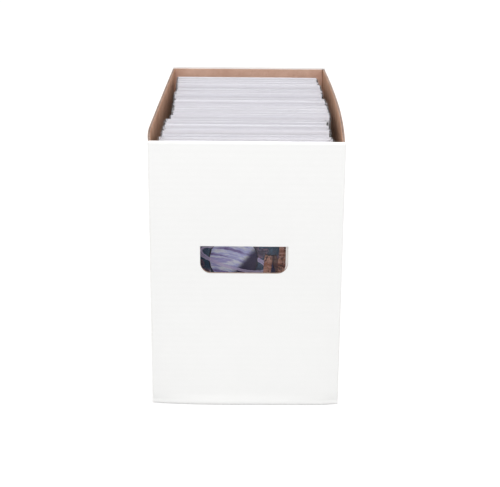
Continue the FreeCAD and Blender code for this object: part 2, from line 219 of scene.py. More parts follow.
def thicken(piece, thickness, offset=-1.0, back=0):
    """Gives a sheet its thickness, below its face. back is the back's material slot."""
    put_modifier(
        piece,
        "SOLIDIFY",
        thickness=thickness,
        offset=offset,
        use_even_offset=True,
        material_offset=back,
        material_offset_rim=back,
    )


def cut(piece, cutter, operation="DIFFERENCE"):
    put_modifier(piece, "BOOLEAN", object=cutter, operation=operation, solver="EXACT")


def joined(name, pieces):
    """Several pieces as one object."""
    select_only(*pieces)
    bpy.ops.object.join()
    piece = bpy.context.object
    piece.name = name
    return piece


def copied(piece, name):
    """A copy with a mesh of its own."""
    twin = piece.copy()
    twin.data = piece.data.copy()
    twin.name = name
    bpy.context.scene.collection.objects.link(twin)
    return twin


def discard(*pieces):
    for piece in pieces:
        bpy.data.objects.remove(piece)


def smooth(piece, degrees=40):
    select_only(piece)
    bpy.ops.object.shade_smooth_by_angle(angle=math.radians(degrees))


def dress(piece, *finishes):
    """Puts the materials in the piece's slots, from the first on."""
    piece.data.materials.clear()
    for finish in finishes:
        piece.data.materials.append(finish)


def fit(piece, body, slot, *nodes):
    """Puts a finished piece on its body, in the place of the frame's nodes."""
    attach(piece, body)
    if nodes:
        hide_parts(*nodes)


# Building materials.


def srgb(red, green, blue):
    """A colour as it shows on the finished piece, 0 to 255, as the shader's own values."""
    levels = [level / 255 for level in (red, green, blue)]
    linear = [
        level / 12.92 if level <= 0.04045 else ((level + 0.055) / 1.055) ** 2.4
        for level in levels
    ]
    return (*linear, 1.0)


def node(tree, kind, inputs=None, **settings):
    """One shader node, with its settings, and each input a link or a value."""
    made = tree.nodes.new("ShaderNode" + kind)
    for name, value in settings.items():
        setattr(made, name, value)
    for name, value in (inputs or {}).items():
        socket = made.inputs[name]
        if isinstance(value, bpy.types.NodeSocket):
            tree.links.new(value, socket)
        else:
            socket.default_value = value
    return made


def tree_of(*values):
    """The tree that the first socket among some values belongs to."""
    return next(v.id_data for v in values if isinstance(v, bpy.types.NodeSocket))


def maths(operation, *values, clamp=False):
    inputs = dict(enumerate(values))
    made = node(tree_of(*values), "Math", inputs, operation=operation, use_clamp=clamp)
    return made.outputs[0]


plus = partial(maths, "ADD")
minus = partial(maths, "SUBTRACT")
times = partial(maths, "MULTIPLY")
times_plus = partial(maths, "MULTIPLY_ADD")
divided = partial(maths, "DIVIDE")
absolute = partial(maths, "ABSOLUTE")
larger = partial(maths, "MAXIMUM")
smaller = partial(maths, "MINIMUM")


def spread(value, low, high, to_low=0.0, to_high=1.0):
    """A value's stretch from low to high, eased over to another stretch."""
    made = node(
        tree_of(value),
        "MapRange",
        {
            "Value": value,
            "From Min": low,
            "From Max": high,
            "To Min": to_low,
            "To Max": to_high,
        },
        interpolation_type="SMOOTHSTEP",
    )
    return made.outputs["Result"]


def blend_colours(share, first, second, how="MIX"):
    made = node(
        tree_of(share, first, second),
        "Mix",
        {0: share, 6: first, 7: second},
        data_type="RGBA",
        blend_type=how,
        clamp_factor=True,
    )
    return made.outputs[2]


def ramp(value, *stops):
    """A colour along stops of (place, colour)."""
    made = node(tree_of(value), "ValToRGB", {"Fac": value})
    elements = made.color_ramp.elements
    while len(elements) < len(stops):
        elements.new(0.5)
    for element, (place, colour) in zip(elements, stops):
        element.position = place
        element.color = colour
    return made.outputs["Color"]


def noise(vector, scale, detail=3.0, rough=0.5):
    made = node(
        tree_of(vector),
        "TexNoise",
        {"Vector": vector, "Scale": scale, "Detail": detail, "Roughness": rough},
    )
    return made.outputs["Fac"]


def stretched(vector, scale, turn=(0, 0, 0), shift=(0, 0, 0)):
    """The coordinates, turned, shifted and stretched for one pattern."""
    made = node(
        tree_of(vector),
        "Mapping",
        {"Vector": vector, "Location": shift, "Rotation": turn, "Scale": scale},
    )
    return made.outputs["Vector"]


def vectors(operation, *values):
    inputs = dict(enumerate(values))
    return node(tree_of(*values), "VectorMath", inputs, operation=operation).outputs[0]


def axes_of(vector):
    return node(tree_of(vector), "SeparateXYZ", {"Vector": vector}).outputs


def cell_pattern(vector, scale, feature="F1"):
    inputs = {"Vector": vector, "Scale": scale}
    return node(tree_of(vector), "TexVoronoi", inputs, feature=feature).outputs


def place_in_box(tree):
    return node(tree, "TexCoord").outputs["Object"]


def effect(name, inputs, outputs):
    """An empty node group, with its sockets. Returns its tree, inputs and output node."""
    tree = bpy.data.node_groups.new(name, "ShaderNodeTree")
    for socket, value in inputs.items():
        kind = "NodeSocketVector" if socket == "Vector" else "NodeSocketFloat"
        made = tree.interface.new_socket(socket, in_out="INPUT", socket_type=kind)
        if value is not None:
            made.default_value = value
    for socket, kind in outputs.items():
        tree.interface.new_socket(socket, in_out="OUTPUT", socket_type="NodeSocket" + kind)
    given = tree.nodes.new("NodeGroupInput").outputs
    result = tree.nodes.new("NodeGroupOutput").inputs
    return tree, given, result


def handed_out(tree, result, **values):
    """An effect's results, linked to its output sockets."""
    for name, value in values.items():
        tree.links.new(value, result[name])
    return tree


def placed(tree, group, **values):
    """A node group placed in a material with its own values."""
    made = tree.nodes.new("ShaderNodeGroup")
    made.node_tree = group
    for name, value in values.items():
        socket = made.inputs[name.replace("_", " ")]
        if isinstance(value, bpy.types.NodeSocket):
            tree.links.new(value, socket)
        else:
            socket.default_value = value
    return made.outputs


def finish(name, **constants):
    """A new material and its surface's inputs, set to what is the same all over it."""
    material = bpy.data.materials.new(name)
    material.use_nodes = True
    surface = material.node_tree.nodes["Principled BSDF"].inputs
    for socket, value in constants.items():
        surface[socket.replace("_", " ")].default_value = value
    return material, material.node_tree, surface


def feed(tree, surface, colour, rough, height, depth):
    """Links a colour, a roughness and a height to the surface."""
    bump = node(tree, "Bump", {"Height": height, "Distance": depth, "Strength": 1.0})
    tree.links.new(colour, surface["Base Color"])
    tree.links.new(rough, surface["Roughness"])
    tree.links.new(bump.outputs["Normal"], surface["Normal"])


# Effects that more than one material uses.


def make_paper_fibres():
    """Pulp fibres: a mottled shade, darker flecks, and the fibres' own height."""
    tree, given, result = effect(
        "paper_fibres",
        {"Vector": None, "Fleck Share": 0.2},
        {"Shade": "Float", "Flecks": "Float", "Height": "Float"},
    )
    vector = given["Vector"]
    cloud = noise(vector, 45.0, 4.0, 0.6)
    lying = noise(stretched(vector, (1, 1, 6)), 420.0, 2.0)
    standing = noise(stretched(vector, (6, 6, 1)), 420.0, 2.0)
    fibre = larger(lying, standing)
    shade = times_plus(fibre, 0.5, times(cloud, 0.5))
    spots = noise(stretched(vector, (1, 1, 0.5)), 900.0, 1.0)
    edge = minus(0.86, times(given["Fleck Share"], 0.3))
    flecks = spread(spots, edge, 0.9)
    return handed_out(tree, result, Shade=shade, Flecks=flecks, Height=fibre)


def make_flute_shadow():
    """The faint ribs that the flutes press through a liner, along a chosen direction."""
    tree, given, result = effect(
        "flute_shadow",
        {"Vector": None, "Across X": 0.0, "Across Y": 0.0, "Across Z": 0.0},
        {"Height": "Float"},
    )
    split = axes_of(given["Vector"])
    run = 0.0
    for axis in "XYZ":
        run = times_plus(split[axis], given[f"Across {axis}"], run)
    drift = noise(given["Vector"], 12.0, 1.0)
    run = times_plus(drift, 0.25 * FLUTE_PITCH, run)
    turn = times(run, 2 * math.pi / FLUTE_PITCH)
    return handed_out(tree, result, Height=maths("SINE", turn))


def make_edge_wear():
    """Where handling has rubbed and soiled the box: its upright edges, feet and rim."""
    tree, given, result = effect(
        "edge_wear",
        {
            "Vector": None,
            "Half Wide": 0.097,
            "Half Long": 0.197,
            "High": 0.282,
            "Reach": 0.0022,
        },
        {"Mask": "Float"},
    )
    split = axes_of(given["Vector"])
    away = minus(given["Half Wide"], absolute(split["X"]))
    along = minus(given["Half Long"], absolute(split["Y"]))
    upright = plus(absolute(away), absolute(along))
    below = minus(given["High"], split["Z"])
    nearest = smaller(upright, absolute(below))
    nearest = smaller(nearest, absolute(split["Z"]))
    rough = noise(given["Vector"], 260.0, 4.0, 0.7)
    patchy = noise(given["Vector"], 28.0, 2.0)
    reach = times(given["Reach"], times(patchy, 2.0))
    near = spread(divided(nearest, reach), 1.0, 0.0)
    mask = times(near, spread(rough, 0.2, 0.8, 0.1, 0.7))
    return handed_out(tree, result, Mask=mask)


paper_fibres = make_paper_fibres()
flute_shadow = make_flute_shadow()
edge_wear = make_edge_wear()


# The board's finishes. The walls' kraft is painted darker and the flaps' kraft lighter than the
# ends' kraft: painted shade and painted light on copies of the same paper.

WHITE_PAPER = srgb(246, 246, 245)
SOILED_WHITE = srgb(232, 230, 226)
KRAFT_LIGHT = srgb(203, 167, 145)
KRAFT_DARK = srgb(166, 128, 107)
KRAFT_FLECK = srgb(112, 80, 62)


def white_board(name, across):
    """Clay-coated white liner. across is the axis that the flutes' ribs are crossed along."""
    material, tree, surface = finish(name, IOR=1.46)
    here = place_in_box(tree)
    fibres = placed(tree, paper_fibres, Vector=here, Fleck_Share=0.1)
    worn = placed(tree, edge_wear, Vector=here)["Mask"]
    shade = spread(fibres["Shade"], 0.3, 0.75, 0.985, 1.0)
    colour = blend_colours(worn, WHITE_PAPER, SOILED_WHITE)
    grey = node(tree, "CombineColor", {"Red": shade, "Green": shade, "Blue": shade})
    colour = blend_colours(1.0, colour, grey.outputs[0], "MULTIPLY")
    scuffs = noise(stretched(here, (1, 1, 3), (0, 0.5, 0)), 35.0, 5.0, 0.7)
    rough = spread(scuffs, 0.35, 0.7, 0.42, 0.62)
    ribs = placed(tree, flute_shadow, Vector=here, **across)["Height"]
    height = times_plus(fibres["Height"], 0.25, ribs)
    feed(tree, surface, colour, rough, height, 0.02 * MM)
    return material


def kraft_board(name, across, light=KRAFT_LIGHT, dark=KRAFT_DARK):
    """Bare kraft liner, mottled, with dark flecks of bark."""
    material, tree, surface = finish(name, IOR=1.42)
    here = place_in_box(tree)
    fibres = placed(tree, paper_fibres, Vector=here, Fleck_Share=0.55)
    colour = ramp(fibres["Shade"], (0.36, dark), (0.66, light))
    colour = blend_colours(fibres["Flecks"], colour, KRAFT_FLECK)
    rough = spread(fibres["Shade"], 0.3, 0.7, 0.88, 0.76)
    ribs = placed(tree, flute_shadow, Vector=here, **across)["Height"]
    height = times_plus(fibres["Height"], 0.8, ribs)
    feed(tree, surface, colour, rough, height, 0.03 * MM)
    return material


white_end = white_board("white_end_board", {"Across_Z": 1.0})
white_wall = white_board("white_wall_board", {"Across_Y": 1.0})
white_flap = white_board("white_flap_board", {"Across_X": 1.0})
kraft_end = kraft_board("kraft_end_board", {"Across_Z": 1.0})
# Painted shade: the walls' kraft is the same paper, painted darker for the shade in the narrow
# gap beside the comics. The bottom and the floor liner use it too.
kraft_wall_painted_shade = kraft_board(
    "kraft_wall_board_painted_shade", {"Across_Y": 1.0}, light=srgb(196, 155, 129), dark=srgb(153, 110, 85)
)
# Painted light: the flaps are the walls' own board, and their kraft is painted lighter for the
# light on the rear flaps, which face the lamps.
kraft_flap_painted_light = kraft_board(
    "kraft_flap_board_painted_light", {"Across_X": 1.0}, light=srgb(219, 183, 163), dark=srgb(192, 151, 130)
)
flute_paper = kraft_board(
    "kraft_flute_paper", {}, light=srgb(216, 200, 190), dark=srgb(176, 156, 144)
)


# Board parts.


def arc_points(centre, radius, start, stop, steps=ARC_STEPS):
    """Points on an arc in depth and height, as pairs."""
    pairs = []
    for k in range(steps + 1):
        angle = math.radians(start + (stop - start) * k / steps)
        pairs.append(
            (centre[0] + radius * math.cos(angle), centre[1] + radius * math.sin(angle), )
        )
    return pairs


def flutes(name, low, high, thick, ribs, stops=None):
    """The fluted paper of a board: one flute is drawn, swept and then repeated."""
    along = ({X, Y, Z} - {thick, ribs}).pop()
    middle = (low[thick] + high[thick]) / 2
    wave = (high[thick] - low[thick]) / 2 - LINER - FLUTE_PAPER / 2
    stops = stops or [low[ribs], high[ribs]]
    points = []
    for k in range(FLUTE_STEPS + 1):
        point = low.copy()
        point[ribs] = stops[0]
        point[along] += FLUTE_PITCH * k / FLUTE_STEPS
        point[thick] = middle + wave * math.cos(2 * math.pi * k / FLUTE_STEPS)
        points.append(point)
    piece = drawn_line(name, points)
    sweep(piece, ribs, stops)
    pitch = Vector()
    pitch[along] = FLUTE_PITCH
    put_modifier(
        piece,
        "ARRAY",
        count=math.ceil((high[along] - low[along]) / FLUTE_PITCH),
        use_relative_offset=False,
        use_constant_offset=True,
        constant_offset_displace=pitch,
        use_merge_vertices=True,
        merge_threshold=HAIR,
    )
    with editing(piece):
        bpy.ops.mesh.bisect(
            plane_co=high, plane_no=pitch.normalized(), clear_outer=True, threshold=HAIR
        )
    thicken(piece, FLUTE_PAPER, offset=0.0)
    smooth(piece)
    return piece


def liner_sheet(name, low, high, thick, outward, white, kraft):
    """A flat liner paper: its outer face in one paper, its back in kraft."""
    face = high[thick] if outward > 0 else low[thick]
    axes = [axis for axis in (X, Y, Z) if axis != thick]
    start = low.copy()
    start[thick] = face
    points = [start.copy(), start.copy()]
    points[1][axes[0]] = high[axes[0]]
    piece = drawn_line(name, points)
    sweep(piece, axes[1], [low[axes[1]], high[axes[1]]])
    direction = Vector()
    direction[thick] = outward
    face_towards(piece, direction)
    dress(piece, white, kraft)
    thicken(piece, LINER, back=1)
    return piece


def hole_outline(aside, spare=0.0, sag=0.0, rise=0.0):
    """A hand hole's sides, bottom, top and corner radius."""
    half = HOLE_WIDE / 2 + spare
    return -half - aside, half - aside, HOLE_LOW - sag, HOLE_TOP + rise, HOLE_RADIUS


def hole_cutter(low_x, high_x, low_z, high_z, radius):
    """A block through an end with a hand hole's outline, its lower corners round."""
    reach = 3 * BOARD
    cutter = block(
        "hole_cutter",
        Vector((low_x, front_low.y - reach, low_z)),
        Vector((high_x, -front_low.y + reach, high_z)),
    )
    with editing(cutter):
        pick_edges(
            cutter, lambda a, b: same(a.z, low_z) and same(b.z, low_z) and same(a.x, b.x)
        )
        bpy.ops.mesh.bevel(offset=radius, segments=9, affect="EDGES")
    return cutter


def crease_wedge(face, inward, low_x, high_x):
    """What the flap's crease takes out of the panel above it, so that the flap can turn."""
    near = face + inward * CREASE_LAND
    rise = BOARD + CREASE_RISE
    far = near + inward * rise
    wedge = block(
        "crease_wedge",
        Vector((low_x, min(near, far), HOLE_TOP - MM)),
        Vector((high_x, max(near, far), HOLE_TOP + rise)),
    )
    with editing(wedge):
        pick_corners(wedge, lambda c: c.z > HOLE_TOP and same(c.y, near))
        bpy.ops.transform.translate(value=(0, 0, -rise))
    return wedge


def flat_board(name, low, high, thick, outward, ribs, finishes, hole=None):
    """A flat corrugated board as three papers, with a hole through all of them."""
    white, kraft = finishes
    outer = liner_sheet(f"{name}_outer_liner", low, high, thick, outward, white, kraft)
    inner = liner_sheet(f"{name}_inner_liner", low, high, thick, -outward, kraft, kraft)
    middle = flutes(f"{name}_flutes", low, high, thick, ribs)
    dress(middle, flute_paper)
    papers = [outer, middle, inner]
    if hole:
        cutter = hole_cutter(*hole)
        for paper in papers:
            cut(paper, cutter)
        discard(cutter)
    return papers


def fit_board(papers, body, *nodes, slot="white_lined_board"):
    """Puts a board's papers on their body. The first one stands for the nodes."""
    outer, *rest = papers
    fit(outer, body, slot, *nodes)
    for paper in rest:
        fit(paper, body, "kraft_board")


# The two ends: the panel with its rolled rim, and the flaps behind it.

# The line pressed in above the foot and the last level that the foot shapes: depth, height.
FOOT_LINE = ((0, 4.2), (0.28, 4.9), (0, 5.6), (0, 14))
# How far the die has pressed the liner in, by the distance from the board's cut edge.
CRUSHED_EDGE = ((0.0, 0.85), (0.6, 0.42), (1.4, 0.12), (2.6, 0.0))
CRUSHED_TOP = 0.6  # how far it has lowered the rim there, as a share of that
CRUSHED_FLUTE = 0.62  # a flute's height at the cut edge, as a share
CRUSHED_FLUTE_PRESS = 0.45 * MM
AT_FACE = 0.3 * MM  # what still counts as the panel's face or rim
# How far the foot's crease bulges out, along the end from its left corner, in mm, and how
# much of that each height takes part in: from, to, share.
FOOT_BULGE = ((-88, 0.9), (-72, 2.3), (-46, 3.6), (-18, 3.9), (12, 3.3), (48, 3.0), (80, 2.4))
FOOT_BULGE_SHARES = ((-1, 5.3, 1.0), (5.3, 6, 0.85), (13, 15, 0.3))


def end_run(face, inward):
    """The outer liner's run: under the foot, up the face, over the rim and down the hem."""
    pairs = [(BOARD, 0.0)]
    pairs += arc_points((FOOT_RADIUS, FOOT_RADIUS), FOOT_RADIUS, 270, 180)
    pairs += [(depth * MM, height * MM) for depth, height in FOOT_LINE]
    pairs += [(0, HOLE_LOW)]
    top = RIM_TOP - RIM_RADIUS
    pairs += arc_points((RIM_RADIUS, top), RIM_RADIUS, 180, 90)
    pairs += arc_points((2 * BOARD - RIM_RADIUS, top), RIM_RADIUS, 90, 0)
    pairs += [(2 * BOARD, HEM_LOW)]
    return [Vector((-BOX_HALF, face + inward * d, h)) for d, h in pairs]


def trim_hem(piece, face, inward, hem_low_x, hem_high_x):
    """Cuts the hanging hem back from the side walls."""
    shallow = face + inward * (BOARD + HAIR)
    deep = face + inward * 3 * BOARD
    y_low, y_high = min(shallow, deep), max(shallow, deep)
    z_low, z_high = HEM_LOW - SPARE, RIM_TOP - BOARD
    for x_low, x_high in ((-BOX_HALF - SPARE, hem_low_x), (hem_high_x, BOX_HALF + SPARE)):
        low, high = Vector((x_low, y_low, z_low)), Vector((x_high, y_high, z_high))
        waste = block("waste", low, high)
        cut(piece, waste)
        discard(waste)


def crush_cut_edges(piece, face, inward):
    """Presses the face in along the panel's two upright cut edges."""
    with editing(piece):
        for distance, press in CRUSHED_EDGE:
            for side in (-1, 1):
                x = side * (BOX_HALF - distance * MM)
                pick_corners(piece, lambda c: same(c.x, x) and abs(c.y - face) < AT_FACE)
                step = (0, inward * press * MM, 0)
                bpy.ops.transform.translate(value=step)
                pick_corners(piece, lambda c: same(c.x, x) and c.z > RIM_TOP - AT_FACE)
                bpy.ops.transform.translate(value=(0, 0, -CRUSHED_TOP * press * MM))


def bulge_foot(piece, face, inward):
    """The crease at the floor stands out in a slight wave."""
    with editing(piece):
        for x, out in FOOT_BULGE:
            for low, high, share in FOOT_BULGE_SHARES:
                pick_corners(
                    piece,
                    lambda c: abs(c.x + inward * -x * MM) < HAIR
                    and low * MM < c.z < high * MM
                    and abs(c.y - face) < 1.6 * MM,
                )
                step = (0, -inward * share * out * MM, 0)
                bpy.ops.transform.translate(value=step)


def end_panel(end, face, inward, aside):
    """The end panel in one run with its rolled rim and hem."""
    outward = Vector((0, -inward, 0))
    hem_low_x, hem_high_x = HEM_PLAY - BOX_HALF, BOX_HALF - BOARD - HEM_PLAY
    hole = hole_outline(aside)
    outer = drawn_line(f"{end}_panel_outer_liner", end_run(face, inward))
    insets = [distance * MM for distance, _ in CRUSHED_EDGE]
    stops = [-BOX_HALF + inset for inset in insets]
    stops += sorted(inward * x * MM for x, _ in FOOT_BULGE)
    stops += [BOX_HALF - inset for inset in reversed(insets)]
    sweep(outer, X, stops)
    face_towards(outer, outward)
    crush_cut_edges(outer, face, inward)
    bulge_foot(outer, face, inward)
    dress(outer, white_end, kraft_end)
    thicken(outer, LINER, back=1)

    depths = (BOARD - LINER / 2 - LINER_LAP, BOARD + LINER / 2 + LINER_LAP)
    top = RIM_TOP - BOARD + LINER_UP
    pairs = [(depths[0], BOARD), (depths[0], top), (depths[1], top), (depths[1], HEM_LOW)]
    inner = drawn_line(
        f"{end}_panel_inner_liner",
        [Vector((-BOX_HALF, face + inward * d, h)) for d, h in pairs],
    )
    sweep(inner, X, [-BOX_HALF, BOX_HALF])
    face_towards(inner, -outward)
    dress(inner, kraft_end)
    thicken(inner, LINER, offset=0.0)

    def layer(near, far, low, high):
        ys = sorted((face + inward * near, face + inward * far))
        return Vector((-BOX_HALF, ys[0], low)), Vector((BOX_HALF, ys[1], high))

    upright_low, upright_high = layer(0, BOARD, CREASE_RADIUS, RIM_TOP - BOARD)
    edges = [-BOX_HALF, -BOX_HALF + insets[-1], BOX_HALF - insets[-1], BOX_HALF]
    upright = flutes("upright", upright_low, upright_high, Y, X, edges)
    centre = Vector((0, face + inward * BOARD / 2, 0))
    with editing(upright):
        pick_corners(upright, lambda c: abs(c.x) > BOX_HALF - HAIR)
        bpy.ops.transform.resize(value=(1, CRUSHED_FLUTE, 1), center_override=centre)
        bpy.ops.transform.translate(value=(0, inward * CRUSHED_FLUTE_PRESS, 0))
    hanging = flutes("hanging", *layer(BOARD, 2 * BOARD, HEM_LOW, RIM_TOP - BOARD), Y, X)
    rolled_low, rolled_high = layer(
        ROLLED_INSET, 2 * BOARD - ROLLED_INSET, RIM_TOP - BOARD, RIM_TOP - RIM_CRUSH
    )
    rolled = flutes("rolled", rolled_low, rolled_high, Z, X)
    middle = joined(f"{end}_panel_flutes", [upright, hanging, rolled])
    dress(middle, flute_paper)

    cutter = hole_cutter(*hole)
    wedge = crease_wedge(face, inward, hole[0], hole[1])
    papers = [outer, middle, inner]
    for paper in papers:
        trim_hem(paper, face, inward, hem_low_x, hem_high_x)
        cut(paper, cutter)
        cut(paper, wedge)
    discard(cutter, wedge)
    smooth(outer, 35)
    fit_board(papers, "box", f"{end}_end_panel", f"{end}_rim_hem")


def end_flaps(end, inward, aside, middle_aside):
    """The two walls' flaps that stand behind an end panel, white side out."""
    for kind, shift, spare in (
        ("middle", aside + middle_aside, 0.0), ("inner", aside, INNER_HOLE_SPARE)
    ):
        name = f"{end}_{kind}_flap"
        hole = hole_outline(shift, spare, INNER_HOLE_SAG, INNER_HOLE_RISE)
        papers = flat_board(name, *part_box(name), Y, -inward, Z, (white_flap, kraft_flap_painted_light), hole)
        fit_board(papers, "box", name)


def hand_flap(end, face, inward, turn):
    """The flap cut free from the hand hole, hinged along the hole's top edge."""
    name = f"{end}_hand_flap"
    low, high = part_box(name)
    ys = sorted((face, face + inward * BOARD))
    closed_low = Vector((low.x, ys[0], HOLE_LOW + FLAP_GAP))
    closed_high = Vector((high.x, ys[1], HOLE_TOP - FLAP_GAP))
    finishes = (white_end, kraft_end)
    papers = flat_board(name, closed_low, closed_high, Y, -inward, X, finishes)
    outline = hole_cutter(low.x, high.x, closed_low.z, RIM_TOP, HOLE_RADIUS - FLAP_GAP)
    crease = Vector((0, face, HOLE_TOP))
    for paper in papers:
        cut(paper, outline, "INTERSECT")
        with editing(paper):
            bpy.ops.mesh.bisect(
                plane_co=crease - Vector((0, 0, CREASE_PLAY)),
                plane_no=Vector((0, inward, 1)).normalized(),
                clear_outer=True,
                use_fill=True,
                threshold=HAIR,
            )
        if turn:
            paper.data.transform(
                Matrix.Translation(crease)
                @ Matrix.Rotation(turn, 4, "X")
                @ Matrix.Translation(-crease)
            )
    discard(outline)
    fit_board(papers, name, name)


for end, face, inward, aside, middle_aside in (
    ("front", front_low.y, 1, FRONT_HOLE_ASIDE, MIDDLE_HOLE_ASIDE),
    ("rear", -front_low.y, -1, 0.0, 0.0),
):
    end_panel(end, face, inward, aside)
    end_flaps(end, inward, aside, middle_aside)
hand_flap("front", front_low.y, 1, FLAP_OPEN)
hand_flap("rear", -front_low.y, -1, 0.0)


# The side walls, bowed outwards above the floor by the full row of comics.


def wall_bow(hand, side):
    """A lattice over a wall, its top pushed out as far as the frame's wall stands out."""
    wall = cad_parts[f"{hand}_side_wall"]
    low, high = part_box(f"{hand}_side_wall")
    face = side * BOX_HALF
    lattice = lattice_over(
        (face, (low.y + high.y) / 2, (FLOOR + high.z) / 2),
        (4 * BOARD, high.y - low.y, high.z - FLOOR),
        (2, WALL_STATIONS + 1, 2),
    )
    lattice.data.interpolation_type_u = "KEY_LINEAR"
    lattice.data.interpolation_type_v = "KEY_CATMULL_ROM"
    lattice.data.interpolation_type_w = "KEY_LINEAR"
    just_below = high.z - WALL_SPARE
    steep = (just_below - FLOOR) / (high.z - FLOOR)
    for point in lattice.data.points:
        if point.co.z > 0:
            y = lattice.location.y + point.co.y * lattice.scale.y
            clear = high.y - CREASE_RADIUS - WALL_SPARE
            y = max(-clear, min(clear, y))
            start = Vector((face + side * 10 * BOARD, y, just_below))
            spot = wall.ray_cast(start, Vector((-side, 0, 0)))[1]
            point.co_deform.x += (spot.x - face) / steep / lattice.scale.x
    bpy.context.view_layer.update()
    return lattice


def wall_papers(hand, side):
    node_low, node_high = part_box(f"{hand}_side_wall")
    face = side * BOX_HALF
    back = side * (BOX_HALF - BOARD)
    low = Vector((min(face, back), node_low.y, 0))
    high = Vector((max(face, back), node_high.y, node_high.z))
    run = high.y - low.y
    stations = [low.y + run * k / WALL_STATIONS for k in range(WALL_STATIONS + 1)]

    outer = block(f"{hand}_wall_outer_liner", low, high)
    with editing(outer):
        pick_faces(outer, lambda c, n: n.x * side < -0.5 or n.z > 0.5)
        bpy.ops.mesh.delete(type="FACE")
        pick_edges(
            outer,
            lambda a, b: same(a.x, face)
            and same(b.x, face)
            and (max(a.z, b.z) < HAIR or abs(a.z - b.z) > HAIR),
        )
        bpy.ops.mesh.bevel(offset=CREASE_RADIUS, segments=ARC_STEPS, affect="EDGES")
        split_at(Y, *stations[1:-1])
        split_at(Z, FLOOR, high.z - WALL_CRUSH_DEEP)
    face_towards(outer, Vector((side, 0, 0)))
    dress(outer, white_wall, kraft_wall_painted_shade)

    inner = drawn_line(
        f"{hand}_wall_inner_liner", [Vector((back, y, BOARD)) for y in stations]
    )
    sweep(inner, Z, [BOARD, FLOOR, high.z - WALL_CRUSH_DEEP, high.z])
    face_towards(inner, Vector((-side, 0, 0)))
    dress(inner, kraft_wall_painted_shade)

    middle = flutes(
        f"{hand}_wall_flutes",
        low + Vector((0, CREASE_RADIUS / 2, 0)),
        high - Vector((0, CREASE_RADIUS / 2, 0)),
        X,
        Z,
        [CREASE_RADIUS, FLOOR, high.z - WALL_CRUSH_DEEP, high.z],
    )
    dress(middle, flute_paper)
    for paper, press in ((outer, -WALL_CRUSH), (inner, WALL_CRUSH)):
        with editing(paper):
            pick_corners(paper, lambda c: c.z > high.z - HAIR)
            bpy.ops.transform.translate(value=(side * press, 0, 0))
    with editing(middle):
        pick_corners(middle, lambda c: c.z > high.z - HAIR)
        squeeze = 1 - 2 * WALL_CRUSH / (BOARD - 2 * LINER)
        centre = Vector(((face + back) / 2, 0, 0))
        bpy.ops.transform.resize(value=(squeeze, 1, 1), center_override=centre)

    bow = wall_bow(hand, side)
    for paper in (outer, middle, inner):
        put_modifier(paper, "LATTICE", object=bow)
    discard(bow)
    thicken(outer, LINER, back=1)
    thicken(inner, LINER)
    smooth(outer, 35)
    fit_board([outer, middle, inner], "box", f"{hand}_side_wall")


wall_papers("left", -1)
wall_papers("right", 1)

bottom_low, bottom_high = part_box("bottom_panel")
fit_board(
    flat_board("bottom", bottom_low, bottom_high, Z, -1, X, (white_wall, kraft_wall_painted_shade)),
    "box",
    "bottom_panel",
)
fit_board(
    flat_board("floor_liner", foot_low, foot_high, Z, 1, X, (kraft_wall_painted_shade, kraft_wall_painted_shade)),
    "box",
    "floor_liner",
    slot="kraft_board",
)


# Finishes of the comics and what they are kept in. The picture's own colours are linear,
# each with its place along a ramp.

INK = (0.008, 0.006, 0.012, 1)
PLANET_INK = (0.008, 0.006, 0.015, 1)
SKY_COLOURS = (
    (0.0, (0.055, 0.022, 0.05, 1)),
    (0.3, (0.022, 0.03, 0.09, 1)),
    (0.55, (0.035, 0.085, 0.15, 1)),
    (0.75, (0.03, 0.045, 0.14, 1)),
    (1.0, (0.06, 0.035, 0.12, 1)),
)
PLANET_COLOURS = (
    (0.3, (0.06, 0.035, 0.15, 1)),
    (0.4, (0.26, 0.2, 0.5, 1)),
    (0.48, (0.56, 0.58, 0.93, 1)),
    (0.55, (0.88, 0.9, 1.0, 1)),
    (0.62, (0.4, 0.37, 0.76, 1)),
    (0.7, (0.7, 0.66, 0.92, 1)),
)
CLIFF_COLOURS = (
    (0.3, (0.07, 0.022, 0.022, 1)),
    (0.4, (0.3, 0.1, 0.065, 1)),
    (0.48, (0.52, 0.23, 0.16, 1)),
    (0.56, (0.72, 0.4, 0.31, 1)),
    (0.66, (0.38, 0.15, 0.13, 1)),
)
CRYSTAL_COLOURS = (
    (0.1, (0.02, 0.013, 0.045, 1)),
    (0.35, (0.05, 0.05, 0.16, 1)),
    (0.5, (0.04, 0.12, 0.17, 1)),
    (0.65, (0.27, 0.19, 0.45, 1)),
    (0.8, (0.52, 0.44, 0.78, 1)),
    (0.92, (0.42, 0.16, 0.1, 1)),
)
RING_COLOUR = (0.66, 0.56, 0.84, 1)
TRIM_PAPER = (0.78, 0.77, 0.74, 1)
MM_IN_A_METRE = (1000, 1000, 1000)


def stripes(value, period, low=-0.2, high=0.2):
    """Alternate stripes along a value."""
    wave = maths("SINE", times(value, 2 * math.pi / period))
    return spread(wave, low, high)


def length_of(first, second):
    squares = times(second, second)
    return maths("SQRT", times_plus(first, first, squares))


def inked(shown, away, outer, inner, ink=INK):
    """An ink line where the distance is near 0."""
    return blend_colours(spread(absolute(away), outer, inner), shown, ink)


